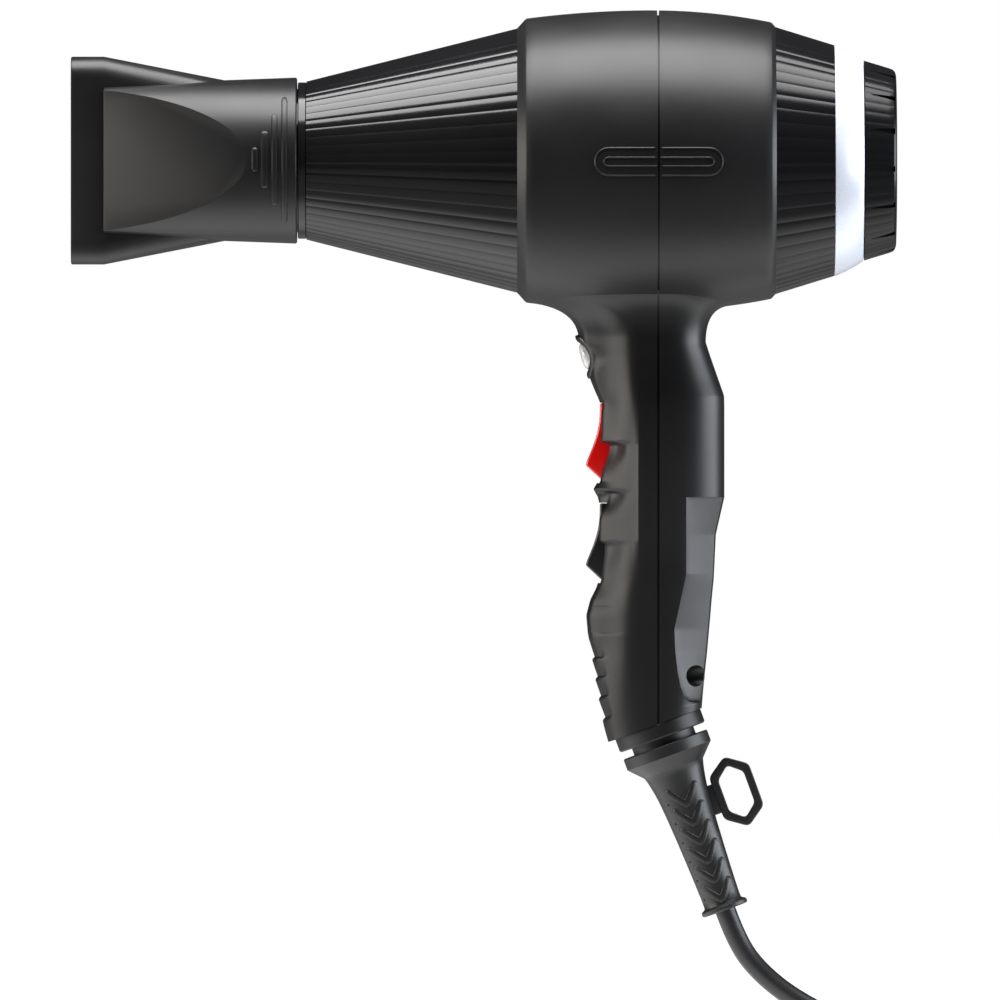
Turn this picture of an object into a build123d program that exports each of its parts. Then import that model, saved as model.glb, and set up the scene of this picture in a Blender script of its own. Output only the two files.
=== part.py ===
from build123d import *
import math
import os

# A hand-held salon hair dryer. Origin at the middle of the grip, X along the barrel
# towards the air inlet, Z up along the grip, Y across. Sizes in millimetres.

# --- Driving sizes -----------------------------------------------------------------
barrel_height = 112.0      # barrel axis above the middle of the grip
shell_wall = 2.4           # moulded wall of the two housing halves
running_gap = 0.3          # air between a moving piece and its neighbour
shaft_gap = 0.05           # radial gap of a running shaft or pivot

# Mid housing, along the barrel axis
housing_front = -43.3
housing_rear = 37.1
front_bevel = 3.2
rear_bevel = 1.6
housing_front_radius = 46.9
housing_belly_radius = 49.6
housing_rear_radius = 45.7
belly_station = -2.0
lip_width = 2.1            # step from the cone's foot to the bore of the housing's end lips
seam_width = 0.7
seam_depth = 1.4

# Ribbed cones
barrel_wall = 2.0
lap_length = 6.0
rib_count = 54
rib_height = 0.9
cone_length = 69.5
cone_front_radius = 26.1
cone_rear_radius = 43.6
rear_cone_length = 19.4
rear_cone_front_radius = 44.1
rear_cone_rear_radius = 38.1

# Spigot that carries the nozzle, and its spring clip
spigot_length = 23.0
spigot_radius = 23.7
spigot_wall = 1.9
collar_radius = 25.8
collar_length = 2.8
clip_setback = 15.0        # from the foot of the spigot to the spring clip
clip_width = 2.0
clip_depth = 0.8
clip_opening = 8.0

# Inlet ring, cap and filter
ring_length = 9.6
ring_rear_radius = 33.0
ring_bore = 30.0
ring_wall = 2.5
ring_seat_wall = 1.7
ring_lap = 4.0
cap_length = 10.8
cap_radius = 31.8
cap_rear_radius = 30.4
cap_wall = 2.2
cap_corner = 2.0
sleeve_length = 7.0
sleeve_wall = 1.7
rim_width = 3.0
vent_count = 15
vent_width = 5.2
vent_length = 8.6
bar_width = 1.3
grille_rings = [7.0, 14.0, 20.5]
grille_hub = 5.0
grille_thickness = 1.8
filter_thickness = 0.8
filter_pitch = 7.5
filter_bars = 7
filter_rim = 1.5
filter_setback = 3.0       # from the end of the sleeve to the filter

# Nozzle
nozzle_length = 74.6
nozzle_lip = 10.9
nozzle_rear_radius = 27.4
nozzle_taper = 0.0365      # radius lost per millimetre towards the mouth
mouth_half_height = 34.3
fin_setback = 23.9         # from the rear edge of the nozzle to the back of the flat duct
fin_rear_half_height = 26.5
fin_half_width = 7.2
slot_half_width = 4.5
duct_wall = 2.0
throat_step = 1.2          # shoulder that stops the spigot inside the nozzle
waist_half_height = 22.3   # air passage half way along the nozzle
waist_half_width = 12.0
mouth_flare = 1.0
facet_lip_half = 9.5       # half width across the slanted faces at the lip
facet_setback = 14.7       # from the rear edge to where the slanted faces run out
grip_bar_height = 0.7
grip_bars = [(13.7, 2.2, 4.0), (10.5, 2.6, 9.4), (7.3, 2.0, 14.9), (4.0, 2.0, 20.5)]

# Air path: outlet grille, heater, fan and motor
outlet_setback = 1.5
outlet_rings = [6.5, 13.5]
outlet_spokes = 8
outlet_hub = 2.5
outlet_thickness = 2.0
heater_setback = 4.0
heater_length = 54.0
mica_gap = 0.5
mica_wall = 0.6
board_thickness = 1.0
coil_radius = 17.6
coil_count = 6
coil_pitch = 6.0
coil_ribbon = 1.2
sensor_offset = 10.0       # thermostat and thermal fuse, beside the barrel axis
thermostat_setback = 5.0   # from the rear end of the heater
thermostat_radius = 4.0
thermostat_height = 3.0
thermostat_cap_radius = 2.6
thermostat_cap_height = 1.2
fuse_setback = 9.0
fuse_radius = 1.6
fuse_length = 8.0
emitter_offset = 3.3
emitter_size = 5.0
emitter_length = 3.2
needle_radius = 0.6
needle_length = 16.0
fan_duct_wall = 1.8
vane_count = 9
vane_thickness = 1.4
vane_inset = 3.0           # from either end of the motor cup to the vanes
vane_bite = 0.5            # how far a vane runs into the walls it joins
motor_radius = 21.0
motor_front = -18.0
motor_length = 20.0
cup_gap = 0.4
cup_wall = 2.0
cup_front_reach = 15.0     # motor cup ahead of the stator
cup_rear_reach = 6.0
winding_offset = 16.6
winding_width = 14.0
winding_depth = 4.0
winding_corner = 1.2
winding_overhang = 4.0
shaft_radius = 2.0
shaft_overhang = 1.5
bearing_radius = 5.0
bearing_length = 4.0
bearing_boss_wall = 2.0
bearing_boss_length = 1.5
bracket_thickness = 3.0
bracket_vents = 4
vent_circle = 15.0
vent_radius = 3.4
armature_radius = 12.0
armature_slots = 12
armature_slot_depth = 3.0
armature_slot_width = 1.8
commutator_radius = 6.0
commutator_setback = 11.0  # from the front of the stator
commutator_length = 9.0
brush_size = 4.4
brush_setback = 6.5
brush_inner = 6.2          # both ends of a brush, beside the shaft
brush_outer = 16.8
brush_gap = 0.1
holder_wall = 1.4
holder_inner = 8.5
holder_outer = 19.5
fan_front = 14.0
fan_length = 14.0
fan_hub_radius = 10.0
blade_count = 9
blade_thickness = 1.3
blade_bite = 1.0
blade_tip_gap = 0.9
blade_root = (48.0, 12.9)  # turn from the axis in degrees, and chord
blade_tip = (24.0, 18.0)

# Grip: height, front edge, rear edge, half width
grip_sections = [
    (barrel_height - 39.0, -41.0, 28.0, 20.5),
    (barrel_height - 46.0, -41.0, 28.0, 20.0),
    (barrel_height - 50.0, -34.5, 19.0, 18.4),
    (58.0, -29.6, 15.4, 17.4),
    (54.0, -27.2, 14.6, 16.8),
    (48.0, -25.8, 16.6, 16.6),
    (41.0, -23.8, 19.4, 16.8),
    (33.0, -20.2, 21.6, 17.2),
    (17.0, -19.8, 21.9, 17.5),
    (1.0, -19.9, 21.8, 17.5),
    (-11.5, -20.2, 19.3, 17.2),
    (-24.0, -20.2, 18.6, 16.8),
    (-37.5, -23.4, 17.3, 16.4),
    (-53.0, -21.4, 16.1, 15.8),
    (-68.0, -18.0, 14.8, 15.0),
    (-84.0, -13.0, 13.6, 14.5),
]
end_tilt = 20.0            # lean of the cord end of the grip towards the rear
grip_end = (-0.1, 0.0, -73.9)
finger_ridges = [19.5, 3.6, -13.4]
ridge_root = -11.0         # where a finger ridge dies out on the side of the grip
ridge_width = 3.6
ridge_reach = 0.9
grip_steps = [-53.1, -59.7, -66.3, -72.9]
step_depth = 1.0
step_rise = 3.6
step_half_width = 9.0
heel_facets = [(-4.6, 9.2, 17.2), (-58.0, 5.6, 14.0)]   # height, and the facet's two edges

# Screws that close the grip
screw_height = -58.0
screw_offset = 8.2
screw_radius = 1.4
screw_bite = 9.0
screw_head_radius = 3.0
screw_head_height = 2.5
head_hole_radius = 3.55
head_seat = 5.0
boss_radius = 4.3
boss_reach = 30.0          # long enough to leave the grip on either side

# Switches in the front of the grip
rocker_width = 10.6
rocker_gap = 0.5
rocker_pitch = 33.0
rocker_reach = 12.7        # from the pivot to either end of a rocker
pivot_x = -12.0
pivot_z = 19.0
pin_radius = 1.2
pin_length = 1.3
rocker_face = [(-19.2, 12.7), (-20.4, 2.0), (-23.9, -7.5)]   # station, and rise from the pivot
rocker_back = [(-18.6, -12.4), (-15.5, -11.2), (-9.6, -4.5), (-9.6, 4.5), (-15.5, 11.4)]
switch_front = -14.4
switch_rear = -2.0
switch_rise = 15.3
switch_drop = 15.5
switch_wall = 1.2
switch_side_wall = 1.6
switch_floor_depth = 7.8   # from the front of the switch to the floor of its hollow
window_depth = 16.0
window_front = -30.0
button_face = (-24.8, 0.0, 47.2)
button_tilt = 17.0
button_radius = 4.3
button_travel = 2.0
button_stand = 0.7         # how far the button stands out of the bezel's plane
button_chamfer = 0.8
button_flange = 0.9
button_flange_thickness = 1.2
button_flange_gap = 1.0
button_stem_radius = 2.4
button_stem_end = -7.6
bezel_half_width = 10.8
bezel_half_height = 7.4
bezel_depth = 5.0
dish_half_width = 8.8      # hollow of the bezel that the button stands in
dish_half_height = 5.6
dish_depth = 3.2
bezel_front = 12.0         # cuts round the button start here, out of the grip
bezel_cut = 22.0
carrier_width = 24.4
carrier_height = 11.0
carrier_thickness = 1.6
carrier_block = 7.0

# Inside the grip, below the switches
module_front = -14.0
module_rear = 2.0
module_height = 16.2
module_half_width = 8.5
terminal_front = 3.0
terminal_rear = 9.5
terminal_half_width = 8.0
terminal_height = 12.5
lead_station = 6.2
lead_pitch = 5.0
lead_radius = 1.1
lead_bite = 2.7
lead_hole_gap = 0.4
clamp_top = -48.5
clamp_height = 5.0
clamp_front = -10.0
clamp_rear = 4.0
clamp_half_width = 11.4
clamp_gap = 0.1
cord_entry_station = -4.0
cord_entry_rise = 1.2
cord_bend_height = -63.0
cord_bend_radius = 12.0
cord_start_inside = 8.0

# Cord end of the grip
band_radius = 14.9
band_bore = 11.2
band_length = 4.7
neck_radius = 10.8
band_chamfer = 0.5
neck_gap = 2.5
neck_inside = 8.0
neck_collar = 0.5          # collar that holds the boot inside the grip's end
neck_collar_start = 6.0
neck_collar_length = 3.0
boot_stations = [(0.0, 14.65), (3.9, 14.65), (8.4, 10.3), (16.7, 8.5), (30.0, 7.45), (56.3, 6.3)]
boot_length = 58.1
bead_radius = 7.9
bead_slope = 0.4
loop_centre = (16.8, 22.6)  # rearward and along the boot
loop_half_length = 12.2
loop_half_width = 7.0
loop_shoulder = 7.3
loop_bar = 2.6
loop_thickness = 4.4
loop_root = 6.0            # depth at which the neck of the loop starts inside the boot
loop_neck_width = 10.0

# Cord and what is on it
cord_radius = 3.5
straight_exit = 11.5       # straight cord beyond the end of the boot
arc_share = 0.45           # part of a straight run that each bend beside it takes up
floor_level = -206.0
coil_centre = (98.0, 44.0)
coil_inner = 26.5
coil_outer = 47.5
coil_height = 28.0
tie_thickness = 1.2
tie_width = 12.0
tie_angle = 215.0
plug_face = 6.0            # station of the face that the pins stand on
plug_line = 84.0           # distance of the plug's axis behind the barrel
plug_height = 24.0
plug_sleeve = 18.0
plug_sections = [(0.0, 35.0, 17.3, 8.0), (11.9, 35.0, plug_height, 9.0), (34.0, 17.5, 14.9, 7.0)]
plug_neck_radius = 7.0
plug_sleeve_wall = 1.4
plug_pin_chamfer = 0.6
plug_pin_radius = 2.4
plug_pin_length = 19.0
plug_pin_spacing = 19.0

# Points of the cord: from the boot down to the top of the coil, and out to the plug
cord_drop = [
    (33.4, 0.0, -155.7),
    (45.1, 0.0, -165.0),
    (62.0, 0.0, -173.4),
    (80.3, 0.0, -178.4),
    (98.0, 0.0, -180.3),
]
cord_run_out = [
    (98.0, 88.0, -201.3),
    (86.0, 88.4, -202.0),
    (74.0, 86.6, -199.4),
    (64.0, 84.8, -195.8),
    (56.0, 84.2, -194.2),
]

os.makedirs("parts", exist_ok=True)

# --- Shared planes and places ------------------------------------------------------
barrel_axis = Axis((0, 0, barrel_height), (1, 0, 0))
barrel_profile = Plane(origin=(0, 0, barrel_height), x_dir=(1, 0, 0), z_dir=(0, -1, 0))
tilt = math.radians(end_tilt)
end_direction = Vector(math.sin(tilt), 0, -math.cos(tilt))
end_side = Vector(math.cos(tilt), 0, math.sin(tilt))
button_turn = math.radians(button_tilt)
button_out = Vector(-math.cos(button_turn), 0, -math.sin(button_turn))

cone_rear = housing_front - front_bevel
cone_front = cone_rear - cone_length
spigot_front = cone_front - spigot_length
clip_station = cone_front - clip_setback
nozzle_rear = cone_front - collar_length - running_gap
nozzle_mouth = nozzle_rear - nozzle_length
heater_front = cone_front + heater_setback
heater_rear = heater_front + heater_length
rear_cone_start = housing_rear + rear_bevel
rear_cone_end = rear_cone_start + rear_cone_length
ring_rear = rear_cone_end + ring_length
cap_end = ring_rear + cap_length

seat_radius = cone_rear_radius - lip_width
lap_radius = seat_radius - running_gap
lap_bore = lap_radius - barrel_wall
duct_bore = lap_radius - fan_duct_wall
spigot_bore = spigot_radius - spigot_wall
cone_front_bore = cone_front_radius - rib_height - barrel_wall
mica_radius = cone_front_bore - mica_gap
boot_start = band_length + neck_gap


def across(station):
    """Plane square to the barrel axis at a station; its x is Y and its y is Z."""
    return Plane(origin=(station, 0, barrel_height), x_dir=(0, 1, 0), z_dir=(1, 0, 0))


def end_plane(distance):
    """Plane square to the tilted cord end; its x points to the rear."""
    origin = Vector(*grip_end) + end_direction * distance
    return Plane(origin=origin, x_dir=end_side, z_dir=end_direction)


def button_plane(distance):
    """Plane square to the cool-shot button; its x points across the grip."""
    origin = Vector(*button_face) + button_out * distance
    return Plane(origin=origin, x_dir=(0, 1, 0), z_dir=button_out)


def save(builder, name):
    """Label a finished piece and write it."""
    builder.part.label = name
    export_step(builder.part, f"parts/{name}.step")


def tube(start, end, outer, inner):
    """Plain tube about the barrel axis."""
    with BuildPart() as ring:
        with BuildSketch(across(start)):
            Circle(outer)
            Circle(inner, mode=Mode.SUBTRACT)
        extrude(amount=end - start)
    return ring.part


def disc(start, end, radius):
    """Plain disc about the barrel axis."""
    with BuildPart() as plate:
        with BuildSketch(across(start)):
            Circle(radius)
        extrude(amount=end - start)
    return plate.part


def block(low, high):
    """Block between two opposite corners."""
    with BuildPart() as brick:
        with BuildSketch(Plane.XY.offset(low[2])):
            with Locations(((low[0] + high[0]) / 2, (low[1] + high[1]) / 2)):
                Rectangle(high[0] - low[0], high[1] - low[1])
        extrude(amount=high[2] - low[2])
    return brick.part


# --- Housing -----------------------------------------------------------------------
def grip_body(sections, inset):
    """Grip through its sections, smaller by inset on every side."""
    with BuildPart() as body:
        for height, front, rear, half_width in sections:
            with BuildSketch(Plane(origin=((front + rear) / 2, 0, height))):
                Ellipse((rear - front) / 2 - inset, half_width - inset)
        loft(ruled=True)
    return body.part


def grip_edge(height, share):
    """Front (share 0) or rear (share 1) edge of the grip at a height, and what lies between."""
    for upper, lower in zip(grip_sections, grip_sections[1:]):
        if lower[0] <= height:
            part = (upper[0] - height) / (upper[0] - lower[0])
            front = upper[1] + part * (lower[1] - upper[1])
            rear = upper[2] + part * (lower[2] - upper[2])
            return front + share * (rear - front)


def grip_half_width(height, station):
    """Half width of the grip at a height and a station along the barrel."""
    for upper, lower in zip(grip_sections, grip_sections[1:]):
        if lower[0] <= height:
            part = (upper[0] - height) / (upper[0] - lower[0])
            widest = upper[3] + part * (lower[3] - upper[3])
            middle = grip_edge(height, 0.5)
            reach = (station - middle) / (grip_edge(height, 1) - middle)
            return widest * math.sqrt(1 - reach**2)


grip_plain = grip_body(grip_sections, 0.0)
grip_inner = grip_body(grip_sections[::3], shell_wall)

with BuildPart() as ridges:
    add(grip_body(grip_sections, -ridge_reach))
    with BuildSketch(Plane.XZ.offset(-grip_sections[0][3])):
        for height in finger_ridges:
            with BuildLine():
                Polyline(
                    (ridge_root, height),
                    (2 * grip_edge(height, 0), height + ridge_width),
                    (2 * grip_edge(height, 0), height - ridge_width),
                    close=True,
                )
            make_face()
    extrude(amount=2 * grip_sections[0][3], mode=Mode.INTERSECT)

with BuildPart() as grip:
    add(grip_plain)
    add(ridges.part)
    with BuildSketch(Plane.XZ.offset(-step_half_width)):
        for height in grip_steps:
            face = grip_edge(height, 0)
            with BuildLine():
                Polyline(
                    (face + step_depth, height),
                    (face - 2 * step_depth, height),
                    (face - 2 * step_depth, height - 2 * step_rise),
                    close=True,
                )
            make_face()
    extrude(amount=2 * step_half_width, mode=Mode.SUBTRACT)
    for side in (1, -1):
        for height, inner, outer in heel_facets:
            inner_width = grip_half_width(height, inner)
            outer_width = grip_half_width(height, outer)
            clear = 2 * inner_width
            with BuildSketch(Plane.XY.offset(height)):
                with BuildLine():
                    Polyline(
                        (inner, side * inner_width),
                        (outer, side * outer_width),
                        (clear, side * outer_width),
                        (clear, side * clear),
                        (inner, side * clear),
                        close=True,
                    )
                make_face()
        loft(ruled=True, mode=Mode.SUBTRACT)
grip_outer = grip.part

with BuildPart() as housing:
    front_edge = (housing_front, housing_front_radius)
    rear_edge = (housing_rear, housing_rear_radius)
    with BuildSketch(barrel_profile):
        with BuildLine():
            ThreePointArc(front_edge, (belly_station, housing_belly_radius), rear_edge)
            Polyline(
                rear_edge,
                (rear_cone_start, rear_cone_front_radius),
                (rear_cone_start, 0),
                (cone_rear, 0),
                (cone_rear, cone_rear_radius),
                front_edge,
            )
        make_face()
    revolve(axis=barrel_axis)
    add(grip_outer)
    lip_front = cone_rear + shell_wall
    lip_rear = rear_cone_start - shell_wall
    cavity_front = (lip_front, housing_front_radius - shell_wall)
    cavity_belly = (belly_station, housing_belly_radius - shell_wall)
    cavity_rear = (lip_rear, housing_rear_radius - shell_wall)
    with BuildSketch(barrel_profile):
        with BuildLine():
            Polyline(
                cavity_front, cavity_belly, cavity_rear, (lip_rear, 0), (lip_front, 0), close=True
            )
        make_face()
    revolve(axis=barrel_axis, mode=Mode.SUBTRACT)
    add(grip_inner, mode=Mode.SUBTRACT)
    with BuildSketch(across(cone_rear)):
        Circle(seat_radius)
    extrude(amount=rear_cone_start - cone_rear, mode=Mode.SUBTRACT)
    with BuildSketch(barrel_profile):
        with Locations((0, housing_belly_radius)):
            Rectangle(seam_width, 2 * seam_depth)
    revolve(axis=barrel_axis, mode=Mode.SUBTRACT)
    split(bisect_by=end_plane(0), keep=Keep.BOTTOM)

screw_places = [(-screw_offset, screw_height), (screw_offset, screw_height)]
window_width = rocker_width + 2 * rocker_gap
rocker_heights = [pivot_z, pivot_z - rocker_pitch]

with BuildPart() as front_bosses:
    with BuildSketch(Plane.YZ.offset(-running_gap)):
        with Locations(*screw_places):
            Circle(boss_radius)
    extrude(amount=-boss_reach)
    add(grip_outer, mode=Mode.INTERSECT)

with BuildPart() as front_housing:
    add(housing.part)
    split(bisect_by=Plane.YZ, keep=Keep.BOTTOM)
    add(front_bosses.part)
    for height in rocker_heights:
        with BuildSketch(Plane.YZ.offset(window_front)):
            with Locations((0, height)):
                Rectangle(window_width, 2 * rocker_reach + 4 * rocker_gap)
        extrude(amount=window_depth, mode=Mode.SUBTRACT)
    with BuildSketch(button_plane(bezel_front)):
        Ellipse(bezel_half_width + running_gap, bezel_half_height + running_gap)
    extrude(amount=-bezel_cut, mode=Mode.SUBTRACT)
    with BuildSketch(Plane.YZ):
        with Locations(*screw_places):
            Circle(screw_radius + shaft_gap)
    extrude(amount=-screw_bite - running_gap, mode=Mode.SUBTRACT)

with BuildPart() as rear_bosses:
    with BuildSketch(Plane.YZ):
        with Locations(*screw_places):
            Circle(boss_radius)
    extrude(amount=boss_reach)
    add(grip_outer, mode=Mode.INTERSECT)

with BuildPart() as rear_housing:
    add(housing.part)
    split(bisect_by=Plane.YZ, keep=Keep.TOP)
    add(rear_bosses.part)
    with BuildSketch(Plane.YZ):
        with Locations(*screw_places):
            Circle(screw_radius + running_gap)
    extrude(amount=head_seat, mode=Mode.SUBTRACT)
    with BuildSketch(Plane.YZ.offset(head_seat)):
        with Locations(*screw_places):
            Circle(head_hole_radius)
    extrude(amount=boss_reach, mode=Mode.SUBTRACT)

with BuildPart() as handle_screws:
    with BuildSketch(Plane.YZ.offset(head_seat)):
        with Locations(*screw_places):
            Circle(screw_head_radius)
    extrude(amount=screw_head_height)
    with BuildSketch(Plane.YZ.offset(head_seat)):
        with Locations(*screw_places):
            Circle(screw_radius)
    extrude(amount=-head_seat - screw_bite)

save(front_housing, "front_housing")
save(rear_housing, "rear_housing")
save(handle_screws, "handle_screws")


# --- Ribbed cones ------------------------------------------------------------------
def pleated_cone(start, start_radius, end, end_radius):
    """Solid ribbed cone between two stations, crest and valley in turn."""
    with BuildPart() as cone:
        for station, radius in ((start, start_radius), (end, end_radius)):
            points = []
            for step in range(2 * rib_count):
                angle = math.pi * step / rib_count
                reach = radius * (1 - (step % 2) * rib_height / cone_rear_radius)
                points.append((reach * math.cos(angle), reach * math.sin(angle)))
            with BuildSketch(across(station)):
                with BuildLine():
                    Polyline(*points, close=True)
                make_face()
        loft(ruled=True)
    return cone.part


clip_bore = spigot_radius - clip_depth
ring_seat_radius = rear_cone_rear_radius - rib_height - ring_seat_wall

with BuildPart() as front_barrel:
    add(pleated_cone(cone_front, cone_front_radius, cone_rear, cone_rear_radius))
    add(disc(spigot_front, cone_front, spigot_radius))
    add(disc(cone_front - collar_length, cone_front, collar_radius))
    add(disc(cone_rear, cone_rear + lap_length, lap_radius))
    with BuildSketch(barrel_profile):
        with BuildLine():
            Polyline(
                (spigot_front, 0),
                (spigot_front, spigot_bore),
                (cone_front, spigot_bore),
                (cone_front, cone_front_bore),
                (cone_rear, lap_bore),
                (cone_rear + lap_length, lap_bore),
                (cone_rear + lap_length, 0),
                close=True,
            )
        make_face()
    revolve(axis=barrel_axis, mode=Mode.SUBTRACT)
    groove_half = clip_width / 2 + running_gap
    add(
        tube(
            clip_station - groove_half,
            clip_station + groove_half,
            spigot_radius + clip_depth,
            clip_bore - running_gap,
        ),
        mode=Mode.SUBTRACT,
    )

with BuildPart() as rear_barrel:
    add(
        pleated_cone(
            rear_cone_start, rear_cone_front_radius, rear_cone_end, rear_cone_rear_radius
        )
    )
    add(disc(rear_cone_start - lap_length, rear_cone_start, lap_radius))
    with BuildSketch(barrel_profile):
        with BuildLine():
            Polyline(
                (rear_cone_start - lap_length, 0),
                (rear_cone_start - lap_length, lap_bore),
                (rear_cone_start, lap_bore),
                (rear_cone_end, ring_seat_radius),
                (rear_cone_end, 0),
                close=True,
            )
        make_face()
    revolve(axis=barrel_axis, mode=Mode.SUBTRACT)

with BuildPart() as nozzle_clip:
    with BuildSketch(across(clip_station - clip_width / 2)):
        Circle(spigot_radius)
        Circle(clip_bore, mode=Mode.SUBTRACT)
        with Locations((0, -spigot_radius)):
            Rectangle(clip_opening, clip_opening, mode=Mode.SUBTRACT)
    extrude(amount=clip_width)

save(front_barrel, "front_barrel")
save(rear_barrel, "rear_barrel")
save(nozzle_clip, "nozzle_clip")

# --- Inlet ring, cap and filter ----------------------------------------------------
sleeve_radius = ring_bore - running_gap
sleeve_bore = sleeve_radius - sleeve_wall

with BuildPart() as trim_ring:
    with BuildSketch(barrel_profile):
        with BuildLine():
            Polyline(
                (rear_cone_end - ring_lap, ring_seat_radius - ring_wall),
                (rear_cone_end - ring_lap, ring_seat_radius - running_gap),
                (rear_cone_end, ring_seat_radius - running_gap),
                (rear_cone_end, rear_cone_rear_radius),
                (ring_rear, ring_rear_radius),
                (ring_rear, ring_bore),
                (rear_cone_end + ring_lap / 2, ring_bore),
                close=True,
            )
        make_face()
    revolve(axis=barrel_axis)

with BuildPart() as inlet_cap:
    cap_start = ring_rear + running_gap
    cap_floor = cap_end - cap_wall
    with BuildSketch(barrel_profile):
        with BuildLine():
            Polyline(
                (ring_rear - sleeve_length, sleeve_bore),
                (ring_rear - sleeve_length, sleeve_radius),
                (cap_start, sleeve_radius),
                (cap_start, cap_radius),
                (cap_end - cap_corner, cap_rear_radius),
                (cap_end, cap_rear_radius - cap_corner),
                (cap_end, sleeve_bore - rim_width),
                (cap_floor, sleeve_bore - rim_width),
                (cap_floor, sleeve_bore),
                close=True,
            )
        make_face()
    revolve(axis=barrel_axis)
    for step in range(vent_count):
        spoke = Plane(origin=(0, 0, barrel_height), x_dir=(1, 0, 0), z_dir=(0, 0, 1))
        spoke = spoke.rotated((360 * step / vent_count, 0, 0))
        with BuildSketch(spoke):
            with BuildLine():
                Polyline(
                    (cap_end - vent_length, 0),
                    (cap_end, vent_width / 2),
                    (cap_end + vent_width, vent_width / 2),
                    (cap_end + vent_width, -vent_width / 2),
                    (cap_end, -vent_width / 2),
                    close=True,
                )
            make_face()
        extrude(amount=cap_radius + vent_width, mode=Mode.SUBTRACT)
    grille_radius = sleeve_bore - rim_width / 2
    with BuildSketch(across(cap_floor)):
        for radius in grille_rings:
            Circle(radius + bar_width / 2)
            Circle(radius - bar_width / 2, mode=Mode.SUBTRACT)
        with PolarLocations(grille_radius / 2, vent_count, 180 / vent_count):
            Rectangle(grille_radius, bar_width)
        Circle(grille_hub)
    extrude(amount=grille_thickness)

mesh_radius = sleeve_bore - running_gap
with BuildSketch() as weave:
    with GridLocations(filter_pitch, 0, filter_bars, 1):
        Rectangle(bar_width, 2 * mesh_radius)
    with GridLocations(0, filter_pitch, 1, filter_bars):
        Rectangle(2 * mesh_radius, bar_width)
    Circle(mesh_radius - filter_rim / 2, mode=Mode.INTERSECT)

with BuildPart() as filter_mesh:
    with BuildSketch(across(ring_rear - sleeve_length + filter_setback)):
        Circle(mesh_radius)
        Circle(mesh_radius - filter_rim, mode=Mode.SUBTRACT)
        add(weave.sketch)
    extrude(amount=filter_thickness)

save(trim_ring, "trim_ring")
save(inlet_cap, "inlet_cap")
save(filter_mesh, "filter_mesh")

# --- Nozzle ------------------------------------------------------------------------
nozzle_bore = spigot_radius + running_gap
lip_station = nozzle_mouth + nozzle_lip
fin_rear = nozzle_rear - fin_setback
facet_apex = nozzle_rear - facet_setback
body_lip_radius = nozzle_rear_radius - nozzle_taper * (nozzle_rear - lip_station)
slot_half_height = mouth_half_height - duct_wall
throat_start = nozzle_bore - throat_step
throat_station = spigot_front - throat_step
waist_station = (throat_station + lip_station) / 2


def stadium(half_height, half_width):
    """Round-ended slot standing along Z on a plane across the barrel."""
    SlotOverall(2 * half_height, 2 * half_width, rotation=90)


with BuildPart() as nozzle_body:
    with BuildSketch(across(nozzle_rear)):
        Circle(nozzle_rear_radius)
    with BuildSketch(across(lip_station)):
        Circle(body_lip_radius)
    loft(ruled=True)
    for side in (1, -1):
        with BuildSketch(Plane.XY.offset(barrel_height - 2 * mouth_half_height)):
            with BuildLine():
                Polyline(
                    (lip_station - running_gap, side * facet_lip_half),
                    (facet_apex, side * nozzle_rear_radius),
                    (facet_apex, side * 2 * nozzle_rear_radius),
                    (lip_station - running_gap, side * 2 * nozzle_rear_radius),
                    close=True,
                )
            make_face()
        extrude(amount=4 * mouth_half_height, mode=Mode.SUBTRACT)

with BuildPart() as nozzle:
    with BuildSketch(across(fin_rear)):
        stadium(fin_rear_half_height, fin_half_width)
    with BuildSketch(across(lip_station)):
        stadium(mouth_half_height, fin_half_width)
    loft(ruled=True)
    with BuildSketch(across(lip_station)):
        stadium(mouth_half_height, fin_half_width)
    extrude(amount=-nozzle_lip)
    add(nozzle_body.part)
    for setback, width, half_height in grip_bars:
        radius = nozzle_rear_radius - nozzle_taper * setback
        with BuildSketch(across(nozzle_rear - setback - width / 2)):
            Circle(radius + grip_bar_height)
            Rectangle(4 * radius, 2 * half_height, mode=Mode.INTERSECT)
        extrude(amount=width)
    add(disc(spigot_front - running_gap, nozzle_rear, nozzle_bore), mode=Mode.SUBTRACT)
    add(disc(throat_station, spigot_front, throat_start), mode=Mode.SUBTRACT)
    with BuildSketch(across(throat_station)):
        stadium(throat_start - running_gap, throat_start - 2 * running_gap)
    with BuildSketch(across(waist_station)):
        stadium(waist_half_height, waist_half_width)
    with BuildSketch(across(lip_station)):
        stadium(slot_half_height - mouth_flare, slot_half_width)
    with BuildSketch(across(nozzle_mouth)):
        stadium(slot_half_height, slot_half_width)
    loft(ruled=True, mode=Mode.SUBTRACT)

save(nozzle, "nozzle")

# --- Outlet grille and heater ------------------------------------------------------
with BuildPart() as outlet_grille:
    grille_rim = spigot_bore - running_gap
    with BuildSketch(across(spigot_front + outlet_setback)):
        Circle(grille_rim)
        Circle(grille_rim - bar_width, mode=Mode.SUBTRACT)
        for radius in outlet_rings:
            Circle(radius + bar_width / 2)
            Circle(radius - bar_width / 2, mode=Mode.SUBTRACT)
        with PolarLocations(grille_rim / 2, outlet_spokes):
            Rectangle(grille_rim - bar_width, bar_width)
        Circle(outlet_hub)
    extrude(amount=outlet_thickness)

mica_bore = mica_radius - mica_wall
coil_stations = [heater_front + coil_pitch * (index + 1) for index in range(coil_count)]

with BuildPart() as mica_tube:
    add(tube(cone_front + running_gap, heater_rear, mica_radius, mica_bore))

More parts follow.
